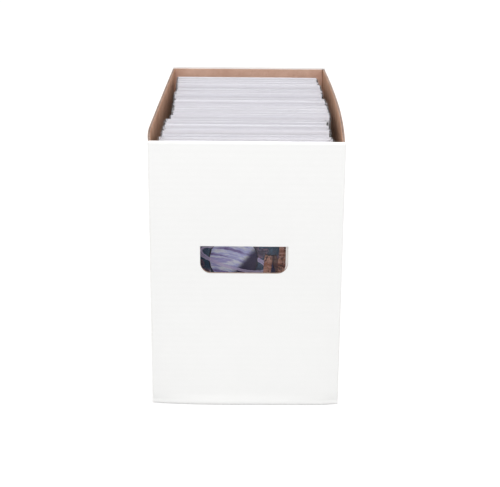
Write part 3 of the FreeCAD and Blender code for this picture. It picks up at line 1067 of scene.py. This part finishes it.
def printed_sky(tree, here, x, z):
    """Night sky: navy to teal, slanting beams of light, a dark red cloud and stars."""
    level = times_plus(z, 0.0055, 0.42)
    level = times_plus(x, -0.0012, level)
    sky = ramp(level, *SKY_COLOURS)
    slanted = stretched(here, (0.11, 1, 0.008), (0, math.radians(33), 0))
    beams = spread(noise(slanted, 1.0, 3.0), 0.47, 0.66)
    sky = blend_colours(beams, sky, (0.11, 0.19, 0.33, 1))
    cloud = noise(here, 0.03, 6.0, 0.62)
    sky = blend_colours(spread(cloud, 0.5, 0.62), sky, (0.12, 0.03, 0.05, 1))
    edge = absolute(minus(cloud, 0.52))
    sky = blend_colours(spread(edge, 0.02, 0.0, 0.0, 0.7), sky, (0.33, 0.17, 0.26, 1))
    cells = cell_pattern(here, 0.2)
    star = spread(cells["Distance"], 0.1, 0.05)
    bright = node(tree, "SeparateColor", {"Color": cells["Color"]})
    star = times(star, spread(bright.outputs[0], 0.55, 0.7))
    return blend_colours(star, sky, (0.85, 0.87, 0.95, 1))


def printed_planet(tree, x, z, given, under):
    """A banded lavender planet with a tilted ring, inked round its edge."""
    size = given["Planet Size"]
    px = minus(x, given["Planet X"])
    pz = minus(z, given["Planet Z"])
    away = minus(length_of(px, pz), size)
    disc = spread(away, 0.3, -0.3)

    tilt = math.radians(17)
    along = times(px, math.cos(tilt))
    along = times_plus(pz, -math.sin(tilt), along)
    above = times(px, math.sin(tilt))
    above = times_plus(pz, math.cos(tilt), above)
    flattened = times(above, 4.2)
    reach = divided(length_of(along, flattened), size)
    ring = times(spread(reach, 1.3, 1.33), spread(reach, 1.82, 1.79))
    groove = stripes(reach, 0.17, -0.9, 0.4)
    ring = times(ring, times_plus(groove, 0.7, 0.3))
    behind = times(disc, spread(above, -0.3, 0.3))
    ring = times(ring, minus(1.0, behind))

    sag = times(times(along, along), 0.006)
    band = node(
        tree, "CombineXYZ", {0: times(along, 0.022), 2: times(plus(above, sag), 0.15)}
    )
    clouds = ramp(noise(band.outputs[0], 1.0, 5.0, 0.6), *PLANET_COLOURS)
    facing = times(px, -0.62)
    facing = times_plus(pz, 0.5, facing)
    lit = spread(divided(facing, size), -0.62, 0.1)
    dots = times(maths("SINE", times(plus(x, z), 4.4)), maths("SINE", times(minus(x, z), 4.4)))
    lit = spread(times_plus(dots, 0.16, lit), 0.25, 0.6)
    clouds = blend_colours(lit, (0.03, 0.02, 0.075, 1), clouds)
    shown = blend_colours(disc, under, clouds)
    shown = inked(shown, away, 0.75, 0.35, PLANET_INK)
    return blend_colours(ring, shown, RING_COLOUR)


def printed_cliffs(tree, here, x, z, given, under):
    """Flat-topped rust cliffs in layers, split by dark cracks and shaded on one side."""
    run = times_plus(x, 1 / 17, given["Seed"])
    cell = maths("FLOOR", run)
    within = minus(run, cell)
    chance = node(tree, "TexWhiteNoise", {"W": cell}, noise_dimensions="1D")
    from_side = smaller(within, minus(1.0, within))
    top = times(chance.outputs["Value"], spread(from_side, 0.02, 0.13))
    top = times_plus(top, 30.0, given["Cliff Level"])
    rough = noise(here, 0.35, 3.0)
    top = times_plus(rough, 5.0, top)
    begun = spread(x, given["Cliff Start"], plus(given["Cliff Start"], 9.0))
    top = times_plus(minus(begun, 1.0), 120.0, top)
    over = minus(top, z)
    layers = noise(stretched(here, (0.025, 1, 0.2)), 1.0, 5.0, 0.6)
    rust = ramp(layers, *CLIFF_COLOURS)
    shadow = spread(within, 0.5, 0.72, 0.0, 0.75)
    rust = blend_colours(shadow, rust, (0.035, 0.014, 0.03, 1))
    cracks = cell_pattern(stretched(here, (0.16, 1, 0.05)), 1.0, "DISTANCE_TO_EDGE")
    split = spread(cracks["Distance"], 0.045, 0.015)
    rust = blend_colours(split, rust, (0.015, 0.008, 0.012, 1))
    shown = blend_colours(spread(over, -0.3, 0.3), under, rust)
    return inked(shown, over, 0.8, 0.35)


def printed_crystals(tree, here, x, z, given, under):
    """A field of crystals in front: upright facets in dark, lilac, teal and rust."""
    run = times_plus(given["Seed"], 7.0, x)
    height = maths("PINGPONG", run, 9.5)
    second = maths("PINGPONG", times_plus(run, 1.0, 4.0), 5.7)
    tall = noise(stretched(here, (0.045, 0, 0)), 1.0, 0.0)
    reach = times(height, times(tall, 7.0))
    reach = larger(reach, times(second, 3.4))
    top = minus(reach, 33.0)
    over = minus(top, z)
    upright = stretched(here, (0.1, 0, 0.026), (0, math.radians(7), 0))
    cells = cell_pattern(upright, 1.0)
    draw = node(tree, "SeparateColor", {"Color": cells["Color"]}).outputs[0]
    facets = ramp(draw, *CRYSTAL_COLOURS)
    graded = spread(noise(stretched(here, (0.3, 0, 0.02)), 1.0, 2.0), 0.3, 0.7)
    facets = blend_colours(graded, (0.02, 0.012, 0.04, 1), facets)
    edges = cell_pattern(upright, 1.0, "DISTANCE_TO_EDGE")
    line = spread(edges["Distance"], 0.05, 0.025)
    facets = blend_colours(line, facets, (0.006, 0.005, 0.012, 1))
    depth = spread(z, -55.0, -135.0, 0.0, 0.75)
    facets = blend_colours(depth, facets, (0.03, 0.012, 0.03, 1))
    shown = blend_colours(spread(over, -0.2, 0.2), under, facets)
    return inked(shown, over, 0.6, 0.25)


def printed_banner(x, z, under):
    """A bare striped banner along the top, a plain corner box, and the paper's own trim."""
    slope = times_plus(x, -0.06, z)
    banner = spread(slope, 93.7, 94.3)
    bars = stripes(times_plus(x, 0.6, z), 9.0)
    inside = times(spread(slope, 98.7, 99.3), spread(slope, 116.3, 115.7))
    colour = blend_colours(times(bars, inside), (0.37, 0.11, 0.06, 1), (0.72, 0.56, 0.36, 1))
    shown = blend_colours(banner, under, colour)
    shown = inked(shown, minus(slope, 94.0), 1.0, 0.6)
    wide = absolute(plus(x, 66.0))
    high = absolute(minus(z, 102.0))
    corner = larger(minus(wide, 11.0), minus(high, 16.0))
    shown = blend_colours(spread(corner, 0.2, -0.2), shown, (0.8, 0.8, 0.83, 1))
    round_mark = length_of(wide, high)
    mark = spread(round_mark, 7.2, 6.8)
    shown = blend_colours(mark, shown, (0.06, 0.1, 0.3, 1))
    shown = inked(shown, corner, 0.7, 0.4)
    trim = larger(minus(absolute(x), 81.6), minus(absolute(z), 126.8))
    return blend_colours(spread(trim, -0.15, 0.15), shown, TRIM_PAPER)


def make_cover_picture():
    """A made-up space scene for a cover, in millimetres from the cover's middle."""
    tree, given, result = effect(
        "cover_picture",
        {
            "Vector": None,
            "Planet X": -12.0,
            "Planet Z": 14.0,
            "Planet Size": 25.0,
            "Cliff Level": 12.0,
            "Cliff Start": 12.0,
            "Seed": 0.0,
        },
        {"Color": "Color"},
    )
    wobble = node(tree, "TexNoise", {"Vector": given["Vector"], "Scale": 0.4})
    centred = vectors("SUBTRACT", wobble.outputs["Color"], (0.5, 0.5, 0.5))
    moved = vectors("MULTIPLY_ADD", centred, (1.6, 1.6, 1.6), given["Vector"])
    drift = node(tree, "CombineXYZ", {1: times(given["Seed"], 31.0)}).outputs[0]
    here = vectors("ADD", moved, drift)
    x, _, z = axes_of(here)
    straight = axes_of(given["Vector"])
    shown = printed_sky(tree, here, x, z)
    shown = printed_planet(tree, x, z, given, shown)
    shown = printed_cliffs(tree, here, x, z, given, shown)
    shown = printed_crystals(tree, here, x, z, given, shown)
    shown = printed_banner(straight["X"], straight["Z"], shown)
    return handed_out(tree, result, Color=shown)


cover_picture = make_cover_picture()

cover_low, cover_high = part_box("front_comic_cover")
backing_low, backing_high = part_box("front_comic_backing_board")
bag_low, bag_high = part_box("front_comic_bag")
COVER_MIDDLE = (cover_low + cover_high) / 2


def front_cover_print():
    material, tree, surface = finish("front_cover_print", IOR=1.5, Specular_IOR_Level=0.3)
    here = place_in_box(tree)
    in_mm = stretched(here, MM_IN_A_METRE, shift=-COVER_MIDDLE * 1000)
    picture = placed(tree, cover_picture, Vector=in_mm)["Color"]
    fibres = placed(tree, paper_fibres, Vector=here)
    rough = spread(fibres["Shade"], 0.3, 0.7, 0.3, 0.42)
    feed(tree, surface, picture, rough, fibres["Height"], 0.004 * MM)
    return material


def bundle_cover_print():
    """The other covers: the same printer's work, laid out anew for every issue."""
    material, tree, surface = finish("bundle_cover_print", IOR=1.5, Specular_IOR_Level=0.3)
    here = place_in_box(tree)
    issue = node(tree, "Attribute", attribute_name="issue").outputs["Fac"]
    chances = node(tree, "TexWhiteNoise", {"W": issue}, noise_dimensions="1D")
    draws = node(tree, "SeparateColor", {"Color": chances.outputs["Color"]}).outputs
    in_mm = stretched(here, MM_IN_A_METRE, shift=-COVER_MIDDLE * 1000)
    picture = placed(
        tree,
        cover_picture,
        Vector=in_mm,
        Planet_X=spread(draws[0], 0.0, 1.0, -45.0, 45.0),
        Planet_Z=spread(draws[1], 0.0, 1.0, -20.0, 62.0),
        Planet_Size=spread(draws[2], 0.0, 1.0, 14.0, 44.0),
        Cliff_Level=spread(draws[1], 0.0, 1.0, 20.0, -50.0),
        Cliff_Start=spread(draws[0], 0.0, 1.0, 30.0, -110.0),
        Seed=times(draws[2], 9.0),
    )["Color"]
    tinted = node(tree, "HueSaturation", {"Hue": draws[0], "Color": picture})
    colour = tinted.outputs["Color"]
    fibres = placed(tree, paper_fibres, Vector=here)
    rough = spread(fibres["Shade"], 0.3, 0.7, 0.32, 0.46)
    feed(tree, surface, colour, rough, fibres["Height"], 0.004 * MM)
    return material


def leaf_paper():
    """The cut edges of the pages, as fine lines of lighter and greyer sheets."""
    material, tree, surface = finish("leaf_paper", IOR=1.4)
    here = place_in_box(tree)
    leaves = noise(stretched(here, (30, 9000, 30)), 1.0, 2.0)
    aged = noise(here, 60.0, 3.0)
    colour = ramp(leaves, (0.3, srgb(196, 187, 170)), (0.7, srgb(236, 231, 218)))
    colour = blend_colours(spread(aged, 0.45, 0.8, 0.0, 0.5), colour, srgb(212, 196, 166))
    rough = spread(leaves, 0.3, 0.7, 0.9, 0.8)
    feed(tree, surface, colour, rough, leaves, 0.02 * MM)
    return material


def backing_paper():
    """White backing board, faintly blue, coated in front."""
    material, tree, surface = finish("backing_paper", IOR=1.45)
    here = place_in_box(tree)
    fibres = placed(tree, paper_fibres, Vector=here)
    lot = noise(stretched(here, (0.5, 90, 0.5)), 1.0, 3.0, 0.7)
    colour = ramp(lot, (0.3, srgb(234, 232, 240)), (0.7, srgb(250, 248, 254)))
    colour = blend_colours(fibres["Flecks"], colour, srgb(205, 203, 206))
    rough = spread(fibres["Shade"], 0.3, 0.7, 0.6, 0.7)
    feed(tree, surface, colour, rough, fibres["Height"], 0.01 * MM)
    return material


def clear_film(name, colour, low, high, rough_low, rough_high):
    """Thin film: how much it clouds what is under it, and its gloss, vary in patches."""
    material, tree, surface = finish(name, IOR=1.5, Specular_IOR_Level=0.4)
    here = place_in_box(tree)
    cloud = noise(stretched(here, (1, 3, 1)), 22.0, 4.0, 0.6)
    drawn = noise(stretched(here, (0.4, 1, 2.5)), 90.0, 3.0)
    shade = blend_colours(spread(cloud, 0.35, 0.65), colour, (0.97, 0.97, 1.0, 1))
    tree.links.new(spread(cloud, 0.3, 0.7, low, high), surface["Alpha"])
    rough = spread(drawn, 0.35, 0.65, rough_low, rough_high)
    feed(tree, surface, shade, rough, drawn, 0.02 * MM)
    return material


def bright_wire():
    material, tree, surface = finish("bright_wire", Metallic=1.0)
    here = place_in_box(tree)
    drawn = noise(stretched(here, (8, 8, 0.6)), 900.0, 3.0)
    colour = ramp(drawn, (0.3, srgb(176, 176, 178)), (0.7, srgb(206, 206, 206)))
    rough = spread(drawn, 0.3, 0.7, 0.24, 0.4)
    feed(tree, surface, colour, rough, drawn, 0.01 * MM)
    return material


front_print = front_cover_print()
bundle_print = bundle_cover_print()
leaves = leaf_paper()
backing_white = backing_paper()
bag_film = clear_film("bag_film", (0.86, 0.88, 0.95, 1), 0.015, 0.05, 0.1, 0.2)
tape_film = clear_film("tape_film", (0.9, 0.87, 0.78, 1), 0.22, 0.32, 0.35, 0.5)
staple_wire = bright_wire()


# One comic, modelled in the front comic's place: book, backing board and bag.

COVER_THICK = 0.25 * MM
PAGE_INSET = 0.35 * MM
SPINE_ROUND = 0.65 * MM
SPINE_PLAY = 0.05 * MM
SEAM_WIDE = 1.4 * MM
SEAM_FLAT = 0.06  # a seam's thickness, as a share of the bag's
TAPE_WIDE = 19 * MM
TAPE_LONG = 26 * MM
TAPE_BELOW = 0.6  # how much of the tape lies below the flap's edge, as a share
TAPE_FILM = 0.02 * MM
BAG_FILM = 0.05 * MM
BAG_FLAP = 38 * MM
BAG_MOUTH = 6 * MM
BAG_FRONT_INSET = 0.02 * MM  # of its sides, inside the solid bag
BAG_BACK_INSET = 0.12 * MM
BAG_FLAP_INSET = 0.03 * MM
BAG_OFF_BOARD = 0.05 * MM  # between the bag and the backing board's edges, at the top
BAG_FRONT_SAG = 0.1 * MM  # below the bag's top, where the film turns over the board
BAG_BACK_SAG = 0.8 * MM
BAG_SEAM_ENDS = 4 * MM  # below the bag's top
BAG_COLUMNS = 4
BOARD_COLUMNS = 4
FRONT_BAG_COLUMNS = 10
FRONT_BAG_ROWS = 6
BUNDLES = 10

middle_x = (bag_low.x + bag_high.x) / 2


def columns(low, high, count):
    """Evenly spaced stops."""
    return [low + (high - low) * k / count for k in range(count + 1)]


def plain_book():
    """A book with a rounded spine, its pages set back between the covers."""
    book = block("book", cover_low, cover_high)
    dress(book, bundle_print, leaves)
    with editing(book):
        pick_edges(
            book, lambda a, b: max(a.x, b.x) < cover_low.x + HAIR and abs(a.z - b.z) > HAIR
        )
        bpy.ops.mesh.bevel(offset=SPINE_ROUND, segments=3, affect="EDGES")
        pick_faces(book, lambda c, n: n.x > 0.9 or abs(n.z) > 0.9)
        bpy.ops.mesh.inset(thickness=COVER_THICK, depth=-PAGE_INSET)
        book.active_material_index = 1
        bpy.ops.object.material_slot_assign()
    return book


def plain_backing():
    """A backing board, in columns so that it can stand a little curved."""
    board = block("backing", backing_low, backing_high)
    with editing(board):
        split_at(X, *columns(backing_low.x, backing_high.x, BOARD_COLUMNS)[1:-1])
        split_at(Z, cover_high.z)
    dress(board, backing_white)
    return board


def bag_shell(name, count, rows):
    """A bag's film as one sheet: up the back, round the foot, up the front, over and down."""
    front, back = bag_low.y + BAG_FRONT_INSET, bag_high.y - BAG_BACK_INSET
    seam = (front + back) / 2
    flap = bag_high.y - BAG_FLAP_INSET
    foot, top = bag_low.z, bag_high.z
    run = [(back, top - BAG_MOUTH), (back, foot + SEAM_WIDE), (seam, foot)]
    run += [(front, foot + SEAM_WIDE)]
    run += [(front, z) for z in columns(foot, cover_high.z, rows)[1:]]
    run += [(backing_low.y - BAG_OFF_BOARD, top - BAG_FRONT_SAG)]
    run += [(backing_high.y + BAG_OFF_BOARD, top), (flap, top - BAG_BACK_SAG)]
    run += [(flap, top - BAG_FLAP)]
    bag = drawn_line(name, [Vector((bag_low.x, y, z)) for y, z in run])
    inner = columns(bag_low.x + SEAM_WIDE, bag_high.x - SEAM_WIDE, count)
    sweep(bag, X, [bag_low.x, *inner, bag_high.x])
    face_towards(bag, Vector((0, -1, 0)))
    with editing(bag):
        pick_corners(
            bag,
            lambda c: min(c.x - bag_low.x, bag_high.x - c.x) < HAIR
            and c.z < top - BAG_SEAM_ENDS
            and c.y < flap - HAIR,
        )
        bpy.ops.transform.resize(value=(1, SEAM_FLAT, 1), center_override=(0, seam, 0))
    thicken(bag, BAG_FILM)
    dress(bag, bag_film, tape_film)
    return bag


def taped(bag, name):
    """The bag with a strip of tape over its flap's free edge."""
    y = bag_high.y
    end = bag_high.z - BAG_FLAP
    rows = (end - TAPE_BELOW * TAPE_LONG, end, end + (1 - TAPE_BELOW) * TAPE_LONG)
    tape = drawn_line("tape", [Vector((middle_x - TAPE_WIDE / 2, y, z)) for z in rows])
    sweep(tape, X, [middle_x - TAPE_WIDE / 2, middle_x, middle_x + TAPE_WIDE / 2])
    face_towards(tape, Vector((0, 1, 0)))
    thicken(tape, TAPE_FILM)
    dress(tape, bag_film, tape_film)
    for face in tape.data.polygons:
        face.material_index = 1
    return joined(name, [tape, bag])


# The front comic, seen through the hand hole.

COVER_ROWS = 6
PAGE_SHEETS = 9
PAGE_THICK = 0.055 * MM
STAPLE_RADIUS = 0.25 * MM  # of its wire
STAPLE_CROWN = 12 * MM
STAPLE_LEG = 0.75 * MM
# Half a staple's run, from the end of a leg: how far into the book, in legs, and how far
# along the crown, in mm.
STAPLE_RUN = ((1, 4.2), (1, 0.7), (0.8, 0.2), (0.5, 0), (0.15, 0.05), (0, 0.4))


def folded_sheet(name, fold, radius, free, steps, stops):
    """A sheet folded round a line up the book, from free edge to free edge."""
    arc = arc_points((fold, COVER_MIDDLE.y), radius, 270, 90, steps)
    pairs = [(free, COVER_MIDDLE.y - radius), *arc, (free, COVER_MIDDLE.y + radius)]
    sheet = drawn_line(name, [Vector((x, y, stops[0])) for x, y in pairs])
    sweep(sheet, Z, stops)
    return sheet


def front_cover():
    """The cover folded round the pages, its spine on the left."""
    half = (cover_high.y - cover_low.y) / 2
    stops = columns(cover_low.z, cover_high.z, COVER_ROWS)
    cover = folded_sheet(
        "front_comic_cover_sheet", cover_low.x + half, half, cover_high.x, 10, stops
    )
    face_towards(cover, Vector((0, -1, 0)))
    thicken(cover, COVER_THICK)
    smooth(cover)
    dress(cover, front_print)
    fit(cover, "front_comic", "printed_cover", "front_comic_cover")


def front_pages():
    """Nested sheets, each folded inside the one before and trimmed a little short."""
    half = (cover_high.y - cover_low.y) / 2 - COVER_THICK
    fold = cover_low.x + COVER_THICK + half + SPINE_PLAY
    trim = random.Random(3)
    sheets = []
    for k in range(PAGE_SHEETS):
        radius = half * (1 - (k + 0.6) / (PAGE_SHEETS + 0.5))
        free = cover_high.x - PAGE_INSET - trim.uniform(0, 0.25) * MM
        low = cover_low.z + trim.uniform(0.2, 0.4) * MM
        high = cover_high.z - trim.uniform(0.2, 0.5) * MM
        sheets.append(folded_sheet(f"sheet_{k}", fold, radius, free, 4, [low, high]))
        thicken(sheets[-1], PAGE_THICK, offset=0.0)
    pages = joined("front_comic_page_sheets", sheets)
    dress(pages, leaves)
    fit(pages, "front_comic", "page_paper", "front_comic_pages")


def round_wire(name, points, radius):
    """Wire along a drawn line."""
    select_only(drawn_line(name, points))
    bpy.ops.object.convert(target="CURVE")
    wire = bpy.context.object
    wire.data.bevel_depth = radius
    wire.data.bevel_resolution = 2
    wire.data.use_fill_caps = True
    bpy.ops.object.convert(target="MESH")
    wire = bpy.context.object
    with editing(wire):
        bpy.ops.mesh.remove_doubles(threshold=HAIR)
    return wire


def front_staples():
    """Two staples through the fold, their legs bent over inside."""
    low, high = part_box("front_comic_staples")
    half = [(share * STAPLE_LEG, rise * MM) for share, rise in STAPLE_RUN]
    path = [*half, *((x, STAPLE_CROWN - rise) for x, rise in reversed(half))]
    staples = []
    for start in (low.z + STAPLE_RADIUS, high.z - STAPLE_CROWN - STAPLE_RADIUS):
        x_start = low.x + STAPLE_RADIUS
        points = [Vector((x_start + x, COVER_MIDDLE.y, start + rise)) for x, rise in path]
        staples.append(round_wire("staple", points, STAPLE_RADIUS))
    wires = joined("front_comic_staple_wires", staples)
    smooth(wires, 60)
    dress(wires, staple_wire)
    fit(wires, "front_comic", "staple_wire", "front_comic_staples")


front_cover()
front_pages()
front_staples()
front_backing = plain_backing()
front_backing.name = "front_comic_board"
fit(front_backing, "front_comic", "backing_board", "front_comic_backing_board")
front_bag = taped(bag_shell("bag", FRONT_BAG_COLUMNS, FRONT_BAG_ROWS), "front_comic_film")
fit(front_bag, "front_comic", "bag_film", "front_comic_bag")


# The rest of the row: every comic is the same three pieces, set where the frame has it.

HEIGHT_SPREAD = 0.0028  # how much taller or shorter one comic is than the next
TILT_SPREAD = math.radians(0.12)
SWAY = 0.22 * MM
SWAY_UP = 0.25 * MM
TALL_ONES = (146, 99, 48, 11, -60, -105, -128)  # how far back the tallest stand
TALL_REACH = 1.4  # mm; whichever comic is as near as this is meant
TALLER = 3.2 * MM
ASIDE = 1.2 * MM  # how far a group between two tall ones may stand to one side
JOG = 1.3 * MM  # and each comic by itself
FRONT_ASIDES = (1.6, -1.4, 3.8, 1.0, -1.2, 3.2, 0.4, 2.4, -0.8, 1.2)  # mm, the foremost

chance = random.Random(11)


def comic_places(name):
    """Where the comics of a bundle stand, as steps from the front comic's cover."""
    corners = [corner.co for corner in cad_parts[name].data.vertices]
    places = []
    for front in sorted({round(corner.y, 6) for corner in corners})[::2]:
        left = min(c.x for c in corners if same(c.y, front))
        places.append(Vector((left - cover_low.x, front - cover_low.y, 0)))
    return places


def stood(twin, place, tilt, stretch, lift):
    """Moves a copy to its place, tilted a little about the bag's foot and stretched."""
    foot = Vector((middle_x, 0, bag_low.z))
    twin.data.transform(
        Matrix.Translation(place + foot + Vector((0, 0, lift)))
        @ Matrix.Rotation(tilt, 4, "Y")
        @ Matrix.Scale(stretch, 4, (0, 0, 1))
        @ Matrix.Translation(-foot)
    )
    return twin


def give_issue(book, number):
    """Every face of a book carries the number of its issue, for the cover's layout."""
    layer = book.data.attributes.new("issue", "FLOAT", "FACE")
    for entry in layer.data:
        entry.value = number


def sway(low, high):
    """A lattice round a bundle: the tops stand a little to and fro and up and down."""
    lattice = lattice_over((low + high) / 2, high - low, (4, 3, 4))
    for point in lattice.data.points:
        if point.co.z > 0.3:
            point.co_deform.y += chance.uniform(-SWAY, SWAY) / lattice.scale.y
            point.co_deform.z += chance.uniform(-SWAY_UP, SWAY_UP) / lattice.scale.z
    bpy.context.view_layer.update()
    return lattice


book, backing = plain_book(), plain_backing()
bag = taped(bag_shell("bag", BAG_COLUMNS, 1), "bag")
KINDS = {
    "books": (book, "page_paper"),
    "backing_boards": (backing, "backing_board"),
    "bags": (bag, "bag_film"),
}
issue = 0
aside = 0.0
for number in range(1, BUNDLES + 1):
    body = f"bundle_{number:02d}"
    stem = f"comics_{number:02d}"
    rows = {kind: [] for kind in KINDS}
    for place in comic_places(f"{stem}_books"):
        issue += 1
        depth = (place.y + cover_low.y) / MM
        tall = any(abs(depth - there) < TALL_REACH for there in TALL_ONES)
        if tall:
            aside = chance.uniform(-ASIDE, ASIDE)
        place.x += aside + chance.uniform(-JOG, JOG)
        if issue <= len(FRONT_ASIDES):
            place.x += FRONT_ASIDES[issue - 1] * MM
        stretch = 1 + chance.uniform(-HEIGHT_SPREAD, 0.4 * HEIGHT_SPREAD)
        lift = TALLER if tall else 0.0
        tilt = chance.uniform(-TILT_SPREAD, TILT_SPREAD)
        for kind, (piece, slot) in KINDS.items():
            rows[kind].append(stood(copied(piece, "twin"), place, tilt, stretch, lift))
        give_issue(rows["books"][-1], issue)
    lattice = sway(*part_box(f"{stem}_bags"))
    for kind, (piece, slot) in KINDS.items():
        row = joined(f"{stem}_row_of_{kind}", rows[kind])
        put_modifier(row, "LATTICE", object=lattice)
        fit(row, body, slot, f"{stem}_{kind}")
    discard(lattice)
discard(book, backing, bag)


# The stage, the light and the camera.

CAMERA_PLACE = Vector((5.857, -1342.8, 578.1)) * MM
CAMERA_PITCH = math.radians(19.25)
CAMERA_YAW = math.radians(-0.101)
CAMERA_ROLL = math.radians(-0.428)
FOCAL_PIXELS = 1211.8
IMAGE_WIDE = 500
SENSOR_WIDE = 36.0
SEEN_TO = 50.0  # as far as the camera sees
FLOOR_WIDE = 16
FLOOR_BELOW = 0.1 * MM  # under the box's own bottom
FLOOR_GREY = srgb(190, 190, 190)
FLOOR_GLOW = 0.5
WORLD_LIGHT = 0.98
PLAIN_WHITE = (1, 1, 1, 1)
LAMPS_AIM = Vector((0, 0, 0.15))
SOFTBOXES = (  # name, place, width, height, watts
    ("key", Vector((-0.5, -2.2, 1.5)), 1.8, 1.4, 11),
    ("overhead", Vector((0.2, 0.1, 2.0)), 1.6, 1.6, 16),
)


def add_camera():
    """The photo's own view: where it was taken from, its turn, and its focal length."""
    forward = Vector(
        (
            math.sin(CAMERA_YAW) * math.cos(CAMERA_PITCH),
            math.cos(CAMERA_YAW) * math.cos(CAMERA_PITCH),
            -math.sin(CAMERA_PITCH),
        )
    )
    level = Vector((math.cos(CAMERA_YAW), -math.sin(CAMERA_YAW), 0))
    down = forward.cross(level)
    right = math.cos(CAMERA_ROLL) * level + math.sin(CAMERA_ROLL) * down
    up = math.sin(CAMERA_ROLL) * level - math.cos(CAMERA_ROLL) * down
    data = bpy.data.cameras.new("camera")
    data.sensor_width = SENSOR_WIDE
    data.lens = FOCAL_PIXELS / IMAGE_WIDE * data.sensor_width
    data.clip_end = SEEN_TO
    camera = bpy.data.objects.new("camera", data)
    camera.matrix_world = Matrix.Translation(CAMERA_PLACE) @ Matrix(
        (right, up, -forward)
    ).transposed().to_4x4()
    bpy.context.scene.collection.objects.link(camera)
    bpy.context.scene.camera = camera


def add_softbox(name, place, wide, high, power):
    data = bpy.data.lights.new(name, "AREA")
    data.shape = "RECTANGLE"
    data.size = wide
    data.size_y = high
    data.energy = power
    lamp = bpy.data.objects.new(name, data)
    lamp.location = place
    lamp.rotation_euler = (LAMPS_AIM - place).to_track_quat("-Z", "Y").to_euler()
    bpy.context.scene.collection.objects.link(lamp)


def seen_directly(tree):
    """1 where the camera sees a surface itself, in a reflection or through film."""
    path = node(tree, "LightPath").outputs
    seen = plus(path["Is Camera Ray"], path["Is Glossy Ray"])
    return maths("ADD", seen, path["Is Transmission Ray"], clamp=True)


def add_floor():
    bpy.ops.object.select_all(action="DESELECT")
    bpy.ops.mesh.primitive_plane_add(size=FLOOR_WIDE, location=(0, 0, -FLOOR_BELOW))
    floor = bpy.context.object
    floor.name = "floor"
    material, tree, surface = finish("pale_floor", Roughness=0.9)
    surface["Base Color"].default_value = FLOOR_GREY
    surface["Emission Color"].default_value = PLAIN_WHITE
    glow = times(seen_directly(tree), FLOOR_GLOW)
    tree.links.new(glow, surface["Emission Strength"])
    dress(floor, material)


def add_world():
    world = bpy.data.worlds.new("studio")
    world.use_nodes = True
    tree = world.node_tree
    background = tree.nodes["Background"]
    background.inputs["Color"].default_value = PLAIN_WHITE
    strength = node(
        tree, "Mix", {0: seen_directly(tree), 2: WORLD_LIGHT, 3: 1.0}, data_type="FLOAT"
    )
    tree.links.new(strength.outputs[0], background.inputs["Strength"])
    bpy.context.scene.world = world


add_camera()
add_floor()
add_world()
for softbox in SOFTBOXES:
    add_softbox(*softbox)

view = bpy.context.scene.view_settings
view.view_transform = "Standard"
